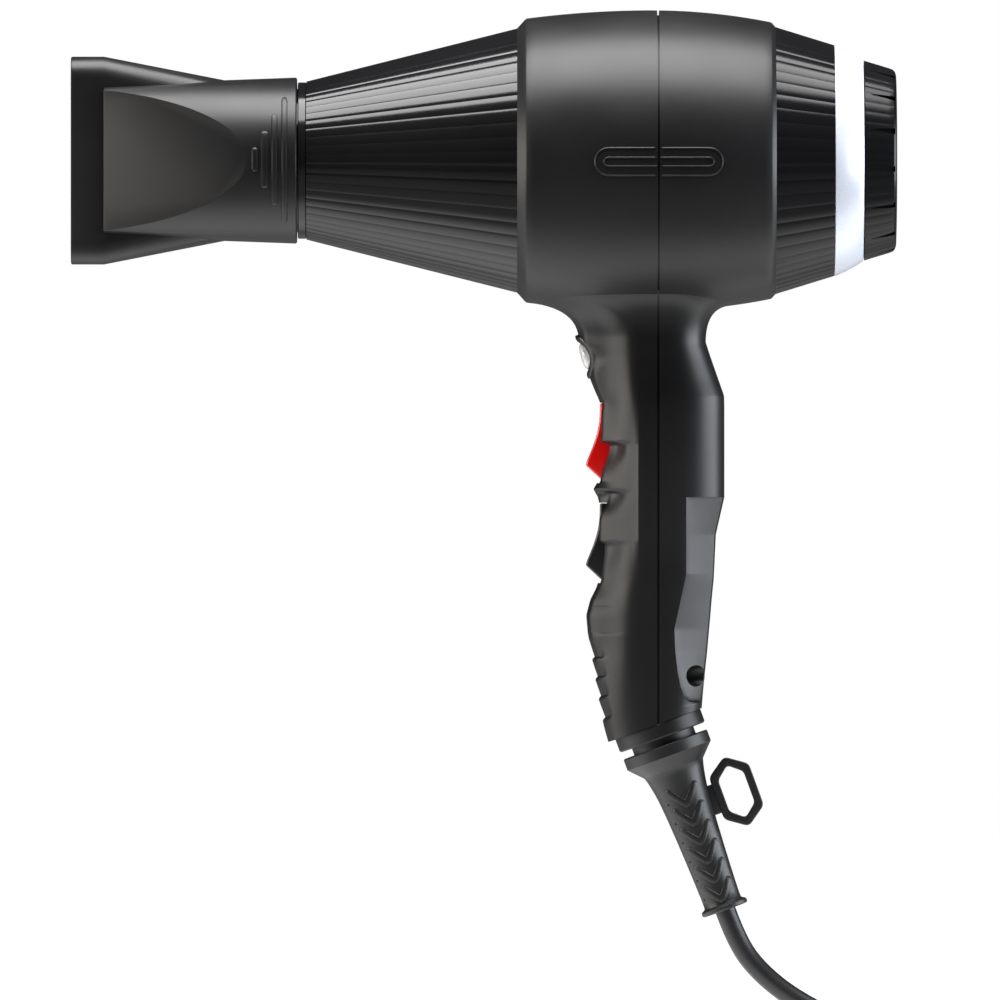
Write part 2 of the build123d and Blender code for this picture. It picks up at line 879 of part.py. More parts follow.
with BuildPart() as heater_boards:
    board_reach = 2 * (mica_bore - running_gap)
    with BuildSketch(across(heater_front)):
        Rectangle(board_reach, board_thickness)
        Rectangle(board_thickness, board_reach)
    extrude(amount=heater_rear - heater_front)
    slot_gap = running_gap
    for station in coil_stations:
        add(
            tube(
                station - coil_ribbon / 2 - slot_gap,
                station + coil_ribbon / 2 + slot_gap,
                coil_radius + coil_ribbon / 2 + slot_gap,
                coil_radius - coil_ribbon / 2 - slot_gap,
            ),
            mode=Mode.SUBTRACT,
        )

with BuildPart() as heater_coils:
    for station in coil_stations:
        with BuildSketch(across(station - coil_ribbon / 2)):
            Circle(coil_radius + coil_ribbon / 2)
            Circle(coil_radius - coil_ribbon / 2, mode=Mode.SUBTRACT)
        extrude(amount=coil_ribbon)

board_face = board_thickness / 2 + running_gap
thermostat_place = (heater_rear - thermostat_setback, sensor_offset, barrel_height + board_face)
with BuildPart() as thermostat:
    with BuildSketch(Plane(origin=thermostat_place)):
        Circle(thermostat_radius)
    extrude(amount=thermostat_height)
    with BuildSketch(Plane(origin=thermostat_place).offset(thermostat_height)):
        Circle(thermostat_cap_radius)
    extrude(amount=thermostat_cap_height)

with BuildPart() as thermal_fuse:
    with BuildSketch(across(heater_rear - fuse_setback)):
        with Locations((sensor_offset, -board_face - fuse_radius)):
            Circle(fuse_radius)
    extrude(amount=fuse_length)

with BuildPart() as ion_emitter:
    emitter_rear = heater_front - running_gap
    with BuildSketch(across(emitter_rear)):
        with Locations((emitter_offset, emitter_offset)):
            Rectangle(emitter_size, emitter_size)
    extrude(amount=-emitter_length)
    with BuildSketch(across(emitter_rear - emitter_length)):
        with Locations((emitter_offset, emitter_offset)):
            Circle(needle_radius)
    extrude(amount=-needle_length)

save(outlet_grille, "outlet_grille")
save(mica_tube, "mica_tube")
save(heater_boards, "heater_boards")
save(heater_coils, "heater_coils")
save(thermostat, "thermostat")
save(thermal_fuse, "thermal_fuse")
save(ion_emitter, "ion_emitter")

# --- Fan duct and motor ------------------------------------------------------------
duct_front = cone_rear + lap_length + running_gap
duct_rear = rear_cone_start - lap_length - running_gap
cup_bore = motor_radius + cup_gap
cup_radius = cup_bore + cup_wall
motor_rear = motor_front + motor_length
cup_front = motor_front - cup_front_reach
cup_rear = motor_rear + cup_rear_reach

with BuildPart() as fan_duct:
    add(tube(duct_front, duct_rear, lap_radius, duct_bore))
    add(tube(cup_front, cup_rear, cup_radius, cup_bore))
    with BuildSketch(across(cup_front + vane_inset)):
        with PolarLocations((cup_radius + duct_bore) / 2, vane_count):
            Rectangle(duct_bore - cup_radius + 2 * vane_bite, vane_thickness)
    extrude(amount=cup_rear - cup_front - 2 * vane_inset)

with BuildPart() as stator:
    add(tube(motor_front, motor_rear, motor_radius, armature_radius + 2 * running_gap))
    with BuildSketch(across(motor_front)):
        with Locations((0, winding_offset), (0, -winding_offset)):
            Rectangle(winding_width + 2 * running_gap, winding_depth + 2 * running_gap)
    extrude(amount=motor_length, mode=Mode.SUBTRACT)

with BuildPart() as field_windings:
    with BuildSketch(across(motor_front - winding_overhang)):
        with Locations((0, winding_offset), (0, -winding_offset)):
            RectangleRounded(winding_width, winding_depth, winding_corner)
    extrude(amount=motor_length + 2 * winding_overhang)

with BuildPart() as armature:
    with BuildSketch(across(motor_front)):
        Circle(armature_radius)
        with PolarLocations(armature_radius, armature_slots):
            Rectangle(2 * armature_slot_depth, armature_slot_width, mode=Mode.SUBTRACT)
        Circle(shaft_radius, mode=Mode.SUBTRACT)
    extrude(amount=motor_length)

with BuildPart() as commutator:
    with BuildSketch(across(motor_front - commutator_setback)):
        Circle(commutator_radius)
        Circle(shaft_radius, mode=Mode.SUBTRACT)
    extrude(amount=commutator_length)

bracket_front = cup_front - bracket_thickness
fan_rear = fan_front + fan_length
with BuildPart() as motor_shaft:
    add(disc(bracket_front - shaft_overhang, fan_rear, shaft_radius))

brush_station = motor_front - brush_setback


def brush_block(side, half, front, inner, outer):
    """Block on one side of the shaft, from a front station to just behind the brushes."""
    near, far = sorted((side * inner, side * outer))
    low = (front, near, barrel_height - half)
    return block(low, (brush_station + half, far, barrel_height + half))


with BuildPart() as brushes:
    brush_half = brush_size / 2
    for side in (1, -1):
        add(brush_block(side, brush_half, brush_station - brush_half, brush_inner, brush_outer))

with BuildPart() as bracket_vent_holes:
    with BuildSketch(across(bracket_front)):
        with PolarLocations(vent_circle, bracket_vents, 45):
            Circle(vent_radius)
    extrude(amount=cup_rear + bracket_thickness - bracket_front)

boss_radius_inside = bearing_radius + bearing_boss_wall
bearing_seat = bearing_radius + shaft_gap
front_bearing_end = cup_front + bearing_boss_length
rear_bearing_start = cup_rear - bearing_boss_length

with BuildPart() as front_bracket:
    add(disc(bracket_front, cup_front, cup_radius))
    add(bracket_vent_holes.part, mode=Mode.SUBTRACT)
    add(disc(cup_front, front_bearing_end, boss_radius_inside))
    holder_half = brush_half + holder_wall
    hollow = brush_half + brush_gap
    for side in (1, -1):
        add(brush_block(side, holder_half, cup_front - vane_bite, holder_inner, holder_outer))
        hollow_front = brush_station - hollow
        hollow_inner = holder_inner - holder_wall
        hollow_outer = holder_outer + holder_wall
        add(
            brush_block(side, hollow, hollow_front, hollow_inner, hollow_outer),
            mode=Mode.SUBTRACT,
        )
    add(disc(bracket_front, brush_station, bearing_seat), mode=Mode.SUBTRACT)

with BuildPart() as rear_bracket:
    add(disc(cup_rear, cup_rear + bracket_thickness, cup_radius))
    add(bracket_vent_holes.part, mode=Mode.SUBTRACT)
    add(disc(rear_bearing_start, cup_rear, boss_radius_inside))
    add(disc(cup_front, cup_rear + bracket_thickness, bearing_seat), mode=Mode.SUBTRACT)

bearing_bore = shaft_radius + shaft_gap
with BuildPart() as front_bearing:
    bearing_start = front_bearing_end - bearing_length
    add(tube(bearing_start, front_bearing_end, bearing_radius, bearing_bore))

with BuildPart() as rear_bearing:
    bearing_end = rear_bearing_start + bearing_length
    add(tube(rear_bearing_start, bearing_end, bearing_radius, bearing_bore))

with BuildPart() as blade:
    fan_middle = fan_front + fan_length / 2
    root_reach = fan_hub_radius - blade_bite
    tip_reach = duct_bore - blade_tip_gap
    for reach, (turn, chord) in ((root_reach, blade_root), (tip_reach, blade_tip)):
        blade_plane = Plane(
            origin=(fan_middle, 0, barrel_height + reach), x_dir=(1, 0, 0), z_dir=(0, 0, 1)
        ).rotated((0, 0, 90 - turn))
        with BuildSketch(blade_plane):
            Rectangle(chord, blade_thickness)
    loft()

with BuildPart() as fan:
    add(disc(fan_front, fan_rear, fan_hub_radius))
    with BuildSketch(across(fan_front)):
        Circle(shaft_radius)
    extrude(amount=fan_length, mode=Mode.SUBTRACT)
    for step in range(blade_count):
        add(blade.part.rotate(barrel_axis, 360 * step / blade_count))

save(fan_duct, "fan_duct")
save(stator, "stator")
save(field_windings, "field_windings")
save(armature, "armature")
save(commutator, "commutator")
save(motor_shaft, "motor_shaft")
save(brushes, "brushes")
save(front_bracket, "front_bracket")
save(rear_bracket, "rear_bracket")
save(front_bearing, "front_bearing")
save(rear_bearing, "rear_bearing")
save(fan, "fan")

# --- Switches ----------------------------------------------------------------------
def rocker_piece(height):
    """Rocker on its pivot: flush at the top, standing out at the bottom."""
    face = [(station, height + rise) for station, rise in rocker_face]
    back = [(station, height + rise) for station, rise in rocker_back]
    with BuildPart() as rocker:
        with BuildSketch(Plane.XZ.offset(-rocker_width / 2)):
            with BuildLine():
                ThreePointArc(*face)
                Polyline(face[-1], *back, face[0])
            make_face()
        extrude(amount=rocker_width)
        with BuildSketch(Plane.XZ.offset(-rocker_width / 2 - pin_length)):
            with Locations((pivot_x, height)):
                Circle(pin_radius)
        extrude(amount=rocker_width + 2 * pin_length)
    return rocker


def switch_piece(height):
    """Open-fronted switch body that holds a rocker's pivot pins."""
    inner_half = rocker_width / 2 + running_gap
    outer_half = inner_half + switch_side_wall
    low = height - switch_drop
    high = height + switch_rise
    with BuildPart() as body:
        add(block((switch_front, -outer_half, low), (switch_rear, outer_half, high)))
        cavity_low = (switch_front - switch_wall, -inner_half, low + switch_wall)
        cavity_high = (switch_front + switch_floor_depth, inner_half, high - switch_wall)
        add(block(cavity_low, cavity_high), mode=Mode.SUBTRACT)
        hole_half = rocker_width / 2 + pin_length + running_gap / 2
        with BuildSketch(Plane.XZ.offset(-hole_half)):
            with Locations((pivot_x, height)):
                Circle(pin_radius + shaft_gap)
        extrude(amount=2 * hole_half, mode=Mode.SUBTRACT)
    return body


speed_rocker = rocker_piece(rocker_heights[0])
heat_rocker = rocker_piece(rocker_heights[1])
speed_switch = switch_piece(rocker_heights[0])
heat_switch = switch_piece(rocker_heights[1])

flange_front = -bezel_depth - button_flange_gap
stem_start = flange_front - button_flange_thickness
carrier_front = button_stem_end - button_travel - running_gap - carrier_thickness

with BuildPart() as button_bezel:
    add(grip_outer)
    add(grip_body(grip_sections, bezel_depth), mode=Mode.SUBTRACT)
    with BuildSketch(button_plane(bezel_front)):
        Ellipse(bezel_half_width, bezel_half_height)
    extrude(amount=-bezel_cut, mode=Mode.INTERSECT)
    with BuildSketch(button_plane(bezel_front)):
        Ellipse(dish_half_width, dish_half_height)
    extrude(amount=-bezel_front - dish_depth, mode=Mode.SUBTRACT)
    with BuildSketch(button_plane(bezel_front)):
        Circle(button_radius + running_gap)
    extrude(amount=-bezel_cut, mode=Mode.SUBTRACT)

with BuildPart() as cool_button:
    with BuildSketch(button_plane(button_stand)):
        Circle(button_radius)
    extrude(amount=flange_front - button_stand)
    front_edge = cool_button.edges().sort_by(Axis(button_face, button_out))[-1]
    chamfer(front_edge, button_chamfer)
    with BuildSketch(button_plane(flange_front)):
        Circle(button_radius + button_flange)
    extrude(amount=-button_flange_thickness)
    with BuildSketch(button_plane(stem_start)):
        Circle(button_stem_radius)
    extrude(amount=button_stem_end - stem_start)

with BuildPart() as cool_switch:
    with BuildSketch(button_plane(carrier_front)):
        Rectangle(carrier_width, carrier_height)
    extrude(amount=-carrier_thickness)
    with BuildSketch(button_plane(carrier_front)):
        Rectangle(carrier_block, carrier_block)
    extrude(amount=carrier_thickness)

save(speed_rocker, "speed_rocker")
save(heat_rocker, "heat_rocker")
save(speed_switch, "speed_switch")
save(heat_switch, "heat_switch")
save(button_bezel, "button_bezel")
save(cool_button, "cool_button")
save(cool_switch, "cool_switch")

# --- Inside the grip ---------------------------------------------------------------
module_top = rocker_heights[1] - switch_drop - running_gap
module_floor = module_top - module_height
terminal_top = module_floor + terminal_height
lead_places = [(lead_station, -lead_pitch), (lead_station, 0), (lead_station, lead_pitch)]
lead_floor = terminal_top - lead_bite

with BuildPart() as ion_module:
    low = (module_front, -module_half_width, module_floor)
    add(block(low, (module_rear, module_half_width, module_top)))

with BuildPart() as terminal_block:
    low = (terminal_front, -terminal_half_width, module_floor)
    add(block(low, (terminal_rear, terminal_half_width, terminal_top)))
    with BuildSketch(Plane.XY.offset(terminal_top)):
        with Locations(*lead_places):
            Circle(lead_radius + lead_hole_gap)
    extrude(amount=-lead_bite - running_gap, mode=Mode.SUBTRACT)

with BuildPart() as inner_leads:
    with BuildSketch(Plane.XY.offset(lead_floor)):
        with Locations(*lead_places):
            Circle(lead_radius)
    extrude(amount=barrel_height - lap_radius - 2 * running_gap - lead_floor)

cord_entry = (cord_entry_station, 0.0, clamp_top + cord_entry_rise)
cord_bend = (cord_entry_station, 0.0, cord_bend_height)
with BuildPart() as inner_cord:
    with BuildLine():
        cord_start = end_plane(-cord_start_inside).origin
        FilletPolyline(cord_start, cord_bend, cord_entry, radius=cord_bend_radius)
    with BuildSketch(end_plane(-cord_start_inside)):
        Circle(cord_radius)
    sweep()

with BuildPart() as cord_clamp:
    low = (clamp_front, -clamp_half_width, clamp_top - clamp_height)
    add(block(low, (clamp_rear, clamp_half_width, clamp_top)))
    with BuildSketch(Plane.XY.offset(clamp_top)):
        with Locations(cord_entry[:2]):
            Circle(cord_radius + clamp_gap)
    extrude(amount=-clamp_height, mode=Mode.SUBTRACT)

save(ion_module, "ion_module")
save(terminal_block, "terminal_block")
save(inner_leads, "inner_leads")
save(inner_cord, "inner_cord")
save(cord_clamp, "cord_clamp")

# --- Band, boot and hang loop ------------------------------------------------------
with BuildPart() as handle_band:
    with BuildSketch(end_plane(0)):
        Circle(band_radius)
        Circle(band_bore, mode=Mode.SUBTRACT)
    extrude(amount=band_length)
    end_face = handle_band.faces().sort_by(Axis(grip_end, end_direction))[-1]
    chamfer(end_face.outer_wire().edges(), band_chamfer)

boot_profile = Plane(origin=end_plane(boot_start).origin, x_dir=end_side, z_dir=(0, -1, 0))
boot_axis = Axis(grip_end, end_direction)

with BuildSketch() as loop_outline:
    with BuildLine():
        Polyline(
            (0, loop_half_length),
            (loop_half_width, loop_shoulder),
            (loop_half_width, -loop_shoulder),
            (0, -loop_half_length),
            (-loop_half_width, -loop_shoulder),
            (-loop_half_width, loop_shoulder),
            close=True,
        )
    make_face()
    offset(amount=-loop_bar, mode=Mode.SUBTRACT)

with BuildPart() as cord_boot:
    loop_edge = loop_centre[0] - loop_half_width + loop_bar / 2
    loop_neck_length = loop_edge - loop_root
    with BuildSketch(boot_profile):
        with BuildLine():
            outline = [(radius, -distance) for distance, radius in boot_stations]
            Polyline(
                (0, 0),
                *outline,
                (bead_radius, -boot_stations[-1][0] - bead_slope),
                (bead_radius, -boot_length),
                (0, -boot_length),
                close=True,
            )
        make_face()
    revolve(axis=boot_axis)
    with BuildSketch(end_plane(-neck_inside)):
        Circle(neck_radius)
    extrude(amount=neck_inside + boot_start)
    with BuildSketch(end_plane(-neck_collar_start)):
        Circle(band_bore + neck_collar)
    extrude(amount=neck_collar_length)
    with BuildSketch(boot_profile.offset(-loop_thickness / 2)):
        with Locations((loop_centre[0], -loop_centre[1])):
            add(loop_outline.sketch)
        with Locations((loop_edge - loop_neck_length / 2, -loop_centre[1])):
            Rectangle(loop_neck_length, loop_neck_width)
    extrude(amount=loop_thickness)

save(handle_band, "handle_band")
save(cord_boot, "cord_boot")

# --- Cord, coil and plug -----------------------------------------------------------
def run_radii(points):
    """Largest even arc at each corner of a cord's route."""
    radii = []
    for before, here, after in zip(points, points[1:], points[2:]):
        into = Vector(*here) - Vector(*before)
        out = Vector(*after) - Vector(*here)
        turn = math.radians(into.get_angle(out))
        radii.append(arc_share * min(into.length, out.length) / math.tan(turn / 2))
    return radii


def cord_tube(points):
    """Round cord along straight runs joined by tangent arcs."""
    radii = run_radii(points)
    print("cord radii", [round(radius, 1) for radius in radii])
    heading = Vector(*points[1]) - Vector(*points[0])
    with BuildPart() as run:
        with BuildLine() as route:
            FilletPolyline(*points, radius=radii)
        with BuildSketch(Plane(origin=points[0], z_dir=heading)):
            Circle(cord_radius)
        sweep()
    length = route.wires()[0].length
    filled = run.part.volume / (math.pi * cord_radius**2 * length)
    print("cord length", round(length, 1), "share of its section filled", round(filled, 3))
    return run


exit_point = end_plane(boot_start + boot_length).origin
cord_points = [tuple(exit_point), tuple(exit_point + end_direction * straight_exit)] + cord_drop
print("cord points", [tuple(round(value, 2) for value in point) for point in cord_points])
mains_cord = cord_tube(cord_points)
cord_tail = cord_tube(cord_run_out)

coil_floor = floor_level + tie_thickness
with BuildPart() as cord_coil:
    with BuildSketch(Plane(origin=(*coil_centre, coil_floor))):
        Circle(coil_outer)
        Circle(coil_inner, mode=Mode.SUBTRACT)
    extrude(amount=coil_height)

with BuildPart() as cord_tie:
    tie_turn = math.radians(tie_angle)
    tie_reach = (coil_inner + coil_outer) / 2
    tie_place = (
        coil_centre[0] + tie_reach * math.cos(tie_turn),
        coil_centre[1] + tie_reach * math.sin(tie_turn),
        coil_floor + coil_height / 2,
    )
    across_tie = Plane(
        origin=tie_place,
        x_dir=(math.cos(tie_turn), math.sin(tie_turn), 0),
        z_dir=(-math.sin(tie_turn), math.cos(tie_turn), 0),
    )
    with BuildSketch(across_tie.offset(-tie_width / 2)):
        Rectangle(coil_outer - coil_inner + 2 * tie_thickness, coil_height + 2 * tie_thickness)
        Rectangle(coil_outer - coil_inner, coil_height, mode=Mode.SUBTRACT)
    extrude(amount=tie_width)

plug_plane = Plane(
    origin=(plug_face, plug_line, floor_level + plug_height / 2), x_dir=(0, 1, 0), z_dir=(1, 0, 0)
)
plug_length = plug_sections[-1][0]
with BuildPart() as plug_body:
    for distance, width, height, corner in plug_sections:
        with BuildSketch(plug_plane.offset(distance)):
            RectangleRounded(width, height, corner)
    loft()
    with BuildSketch(plug_plane.offset(plug_length)):
        Circle(plug_neck_radius)
    with BuildSketch(plug_plane.offset(plug_length + plug_sleeve)):
        Circle(cord_radius + plug_sleeve_wall)
    loft()

with BuildPart() as plug_pins:
    with BuildSketch(plug_plane):
        with GridLocations(plug_pin_spacing, 1, 2, 1):
            Circle(plug_pin_radius)
    extrude(amount=-plug_pin_length)
    pin_ends = plug_pins.edges().filter_by(GeomType.CIRCLE).group_by(Axis.X)[0]
    chamfer(pin_ends, plug_pin_chamfer)

save(mains_cord, "mains_cord")
save(cord_tail, "cord_tail")
save(cord_coil, "cord_coil")
save(cord_tie, "cord_tie")
save(plug_body, "plug_body")
save(plug_pins, "plug_pins")
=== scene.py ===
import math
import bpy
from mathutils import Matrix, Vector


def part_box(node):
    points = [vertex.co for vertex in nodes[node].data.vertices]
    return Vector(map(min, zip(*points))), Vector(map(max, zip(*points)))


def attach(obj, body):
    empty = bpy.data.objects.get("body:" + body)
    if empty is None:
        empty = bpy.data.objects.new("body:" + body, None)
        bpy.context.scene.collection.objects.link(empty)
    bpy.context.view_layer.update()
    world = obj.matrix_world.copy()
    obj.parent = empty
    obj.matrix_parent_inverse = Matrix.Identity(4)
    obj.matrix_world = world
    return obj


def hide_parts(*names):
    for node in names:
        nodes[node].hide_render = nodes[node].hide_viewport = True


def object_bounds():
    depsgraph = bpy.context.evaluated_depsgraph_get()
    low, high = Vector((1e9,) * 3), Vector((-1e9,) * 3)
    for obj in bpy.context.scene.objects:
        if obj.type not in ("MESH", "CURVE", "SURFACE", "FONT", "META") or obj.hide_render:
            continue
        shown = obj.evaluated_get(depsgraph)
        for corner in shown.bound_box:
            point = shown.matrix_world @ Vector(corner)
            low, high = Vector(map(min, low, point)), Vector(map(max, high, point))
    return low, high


bl_info = {
    "name": "Salon hair dryer",
    "version": (1, 0, 0),
    "blender": (4, 5, 0),
    "location": "3D View > Sidebar > Dryer",
    "description": "Builds the visible pieces of a hand-held salon hair dryer on its fixed frame",
    "category": "Object",
}

import bpy
from mathutils import Matrix, Vector

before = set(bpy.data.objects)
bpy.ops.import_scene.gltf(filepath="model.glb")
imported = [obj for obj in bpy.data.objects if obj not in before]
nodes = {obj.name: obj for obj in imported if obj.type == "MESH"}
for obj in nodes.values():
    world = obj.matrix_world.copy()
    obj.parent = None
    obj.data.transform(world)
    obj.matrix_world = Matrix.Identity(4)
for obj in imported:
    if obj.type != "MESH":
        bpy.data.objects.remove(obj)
frame_low, frame_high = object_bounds()

MM = 0.001
TAU = 2 * math.pi
MERGE_GAP = 2e-6
AXIS = 112.0
PILL_HEIGHT = 111.0
GRIP_SKIN = 1.9
PIVOTS = {"speed": 19.0, "heat": -14.0}
WINDOW_HALF_WIDTH = 5.8
SCREW_SIDE = 8.2
SCREW_HEIGHT = -58.0
FLUTES = 56
FLUTE_STEPS = 8
VENTS = 15
END_TILT = math.radians(20.0)
GRIP_END = Vector((-0.1, 0.0, -73.9))
END_DIRECTION = Vector((math.sin(END_TILT), 0.0, -math.cos(END_TILT)))
END_SIDE = Vector((math.cos(END_TILT), 0.0, math.sin(END_TILT)))
BUTTON_TILT = math.radians(17.0)
BUTTON_FACE = Vector((-24.8, 0.0, 47.2))
BUTTON_OUT = Vector((-math.cos(BUTTON_TILT), 0.0, -math.sin(BUTTON_TILT)))
BOOT_START = 7.2
LIP_STATION = -182.8
MOUTH_STATION = -193.7
NOZZLE_REAR = -119.1
NOZZLE_TAPER = 0.0365
BOOT_OUTLINE = [
    (-8.0, 0.0), (-8.0, 10.4), (-7.6, 10.8), (-6.0, 10.8), (-6.0, 11.7), (-3.0, 11.7), (-3.0, 10.8),
    (7.2, 10.8), (7.2, 14.3), (7.5, 14.65), (11.0, 14.65), (11.35, 14.35), (15.4, 10.45), (15.7, 10.2),
    (17.5, 9.7), (19.5, 9.25), (22.0, 8.8), (24.0, 8.5), (27.0, 8.2), (31.0, 7.85), (37.0, 7.45),
    (44.0, 7.05), (52.0, 6.65), (60.0, 6.35), (62.6, 6.35), (63.1, 6.6), (63.5, 7.4), (63.9, 7.8),
    (64.5, 7.9), (65.0, 7.75), (65.3, 7.4), (65.3, 0.0),
]
CHEVRONS = 6
CHEVRON_START = 28.2
CHEVRON_PITCH = 6.7
GRIP_BARS = [(-132.8, 1.1, 4.0), (-129.6, 1.3, 9.4), (-126.4, 1.0, 14.9), (-123.1, 1.0, 20.5)]
FRONT_CREASE = 6.6

# Height of a level of the grip, its front and rear reach and half its width, in millimetres
GRIP_ROWS = [
    (62.0, -27.6, 14.9, 17.4),
    (55.0, -27.0, 14.8, 17.0),
    (47.0, -24.6, 17.4, 16.7),
    (39.6, -22.3, 20.0, 16.8),
    (34.5, -20.2, 21.8, 17.2),
    (31.0, -19.4, 21.9, 17.4),
    (0.9, -19.9, 21.9, 17.5),
    (-11.4, -20.2, 19.1, 17.3),
    (-20.0, -19.6, 18.7, 17.0),
    (-26.0, -19.4, 18.4, 16.9),
    (-29.0, -20.4, 18.1, 16.8),
    (-33.0, -22.4, 17.7, 16.6),
    (-38.0, -23.7, 17.3, 16.4),
    (-43.6, -23.2, 16.8, 16.2),
    (-53.0, -21.4, 16.1, 15.8),
    (-68.0, -18.0, 14.9, 15.1),
    (-90.0, -12.0, 13.2, 14.4),
]
RIDGES = [19.5, 3.6, -13.4]
FRONT_BREAKS = [42.2, -34.7, -43.6]
REAR_BREAKS = [34.3, 0.9, -24.4]

# Height and station of the edge of the flat on the back of the grip, in millimetres
FACET_EDGE = [
    (0.9, 9.2), (-24.4, 9.2), (-42.6, 5.3), (-50.0, 5.6), (-58.0, 6.4), (-63.8, 7.4),
    (-67.9, 8.6), (-69.9, 9.8), (-71.0, 11.4), (-71.5, 14.6),
]


def length(name, description, default):
    """Length in the panel."""
    return bpy.props.FloatProperty(
        name=name, description=description, default=default, unit="LENGTH", subtype="DISTANCE"
    )


def colour(name, description, default):
    """Colour in the panel."""
    return bpy.props.FloatVectorProperty(
        name=name, description=description, default=default, subtype="COLOR", size=3, min=0.0, max=1.0
    )


class DryerSizes(bpy.types.PropertyGroup):
    """Sizes of the dryer's pieces"""

    barrel_height: length(
        "Barrel height",
        "Barrel axis above the middle of the grip",
        (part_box("trim_ring")[0].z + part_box("trim_ring")[1].z) / 2,
    )
    seam_width: length("Seam width", "Width of the groove between the two housing halves", 0.00066)
    flute_depth: length("Flute depth", "Depth of the flutes on the cones and the cap", 0.00014)
    cord_diameter: length("Cord diameter", "Outer diameter of the mains cord", 0.007)
    cord_length: length("Cord length", "Length of the cord from the boot to the plug", 2.78)


class DryerFinish(bpy.types.PropertyGroup):
    """Colours of the dryer's finishes"""

    housing: colour("Housing", "Soft matt black of the housing and nozzle", (0.0065, 0.0065, 0.007))
    gloss: colour("Cones", "Gloss black of the fluted cones and cap", (0.0055, 0.0055, 0.006))
    ring: colour("Trim ring", "Pearl silver of the ring at the air inlet", (0.56, 0.59, 0.66))
    rocker: colour("Speed rocker", "Red of the speed rocker", (0.72, 0.004, 0.003))


# --- Helpers -----------------------------------------------------------------------
def settle():
    """Object mode with nothing selected."""
    if bpy.context.object and bpy.context.object.mode != "OBJECT":
        leave()
    bpy.ops.object.select_all(action="DESELECT")


def pick(piece):
    """Make one piece the only selected one, and active."""
    settle()
    piece.select_set(True)
    bpy.context.view_layer.objects.active = piece


def seat(piece):
    """Put a piece's place into its mesh, so that its object sits at the origin."""
    pick(piece)
    bpy.ops.object.transform_apply(location=True, rotation=True, scale=True)


def edit(piece, chosen="SELECT", kind="VERT"):
    """Edit mode on one piece, with all of it selected or nothing."""
    pick(piece)
    bpy.ops.object.mode_set(mode="EDIT")
    bpy.ops.mesh.select_mode(type=kind)
    bpy.ops.mesh.select_all(action=chosen)


def leave():
    """Back to object mode."""
    bpy.ops.object.mode_set(mode="OBJECT")


def clean(piece):
    """Merge doubled points and turn every face outward."""
    edit(piece)
    bpy.ops.mesh.remove_doubles(threshold=MERGE_GAP)
    bpy.ops.mesh.normals_make_consistent(inside=False)
    leave()


def smooth(piece, angle=30.0):
    """Shade smooth except over edges sharper than the angle."""
    pick(piece)
    bpy.ops.object.shade_smooth_by_angle(angle=math.radians(angle))


def soften(piece, width, segments=2, angle=35.0):
    """Round a piece's hard edges with an applied bevel."""
    pick(piece)
    bevel = piece.modifiers.new("soft_edges", "BEVEL")
    bevel.width = width * MM
    bevel.segments = segments
    bevel.limit_method = "ANGLE"
    bevel.angle_limit = math.radians(angle)
    bpy.ops.object.modifier_apply(modifier=bevel.name)


def cut(piece, cutter, operation="DIFFERENCE"):
    """Boolean one piece with another, which is used up."""
    pick(piece)
    step = piece.modifiers.new("cut", "BOOLEAN")
    step.operation = operation
    step.solver = "MANIFOLD"
    step.object = cutter
    bpy.ops.object.modifier_apply(modifier=step.name)
    pick(cutter)
    bpy.ops.object.delete()


def merge_into(piece, others):
    """Join other pieces into one."""
    settle()
    for other in others:
        other.select_set(True)
    piece.select_set(True)
    bpy.context.view_layer.objects.active = piece
    bpy.ops.object.join()
    return piece


def drawn(name, points):
    """Closed line through points in millimetres, drawn from one vertex by extruding it."""
    settle()
    bpy.ops.mesh.primitive_plane_add(size=0.001, location=Vector(points[0]) * MM)
    piece = bpy.context.object
    piece.name = name
    bpy.ops.object.mode_set(mode="EDIT")
    bpy.ops.mesh.select_all(action="SELECT")
    bpy.ops.mesh.merge(type="CENTER")
    for here, there in zip(points, points[1:]):
        step = (Vector(there) - Vector(here)) * MM
        bpy.ops.mesh.extrude_region_move(TRANSFORM_OT_translate={"value": step})
    bpy.ops.mesh.select_all(action="SELECT")
    bpy.ops.mesh.remove_doubles(threshold=MERGE_GAP)
    return piece


def turned(name, profile, steps=128, place=None):
    """Closed profile of (station, radius) in millimetres, spun round the X axis and then placed."""
    if place is None:
        place = Matrix.Translation((0, 0, bpy.context.scene.dryer_sizes.barrel_height))
    points = [(station, 0.0, radius) for station, radius in profile]
    piece = drawn(name, points + points[:1])
    bpy.ops.mesh.select_all(action="SELECT")
    bpy.ops.mesh.spin(steps=steps, angle=TAU, center=(0, 0, 0), axis=(1, 0, 0))
    leave()
    seat(piece)
    clean(piece)
    piece.data.transform(place)
    return piece


def toward(origin, direction):
    """Place whose X axis runs from an origin in millimetres along a direction."""
    turn = Vector((1, 0, 0)).rotation_difference(Vector(direction)).to_matrix().to_4x4()
    return Matrix.Translation(Vector(origin) * MM) @ turn


def slab(name, outline, low, high):
    """Outline of (x, z) points in millimetres, filled and drawn out along Y from low to high."""
    piece = drawn(name, [(x, low, z) for x, z in outline] + [(outline[0][0], low, outline[0][1])])
    bpy.ops.mesh.edge_face_add()
    bpy.ops.mesh.extrude_region_move(TRANSFORM_OT_translate={"value": (0, (high - low) * MM, 0)})
    leave()
    seat(piece)
    clean(piece)
    return piece


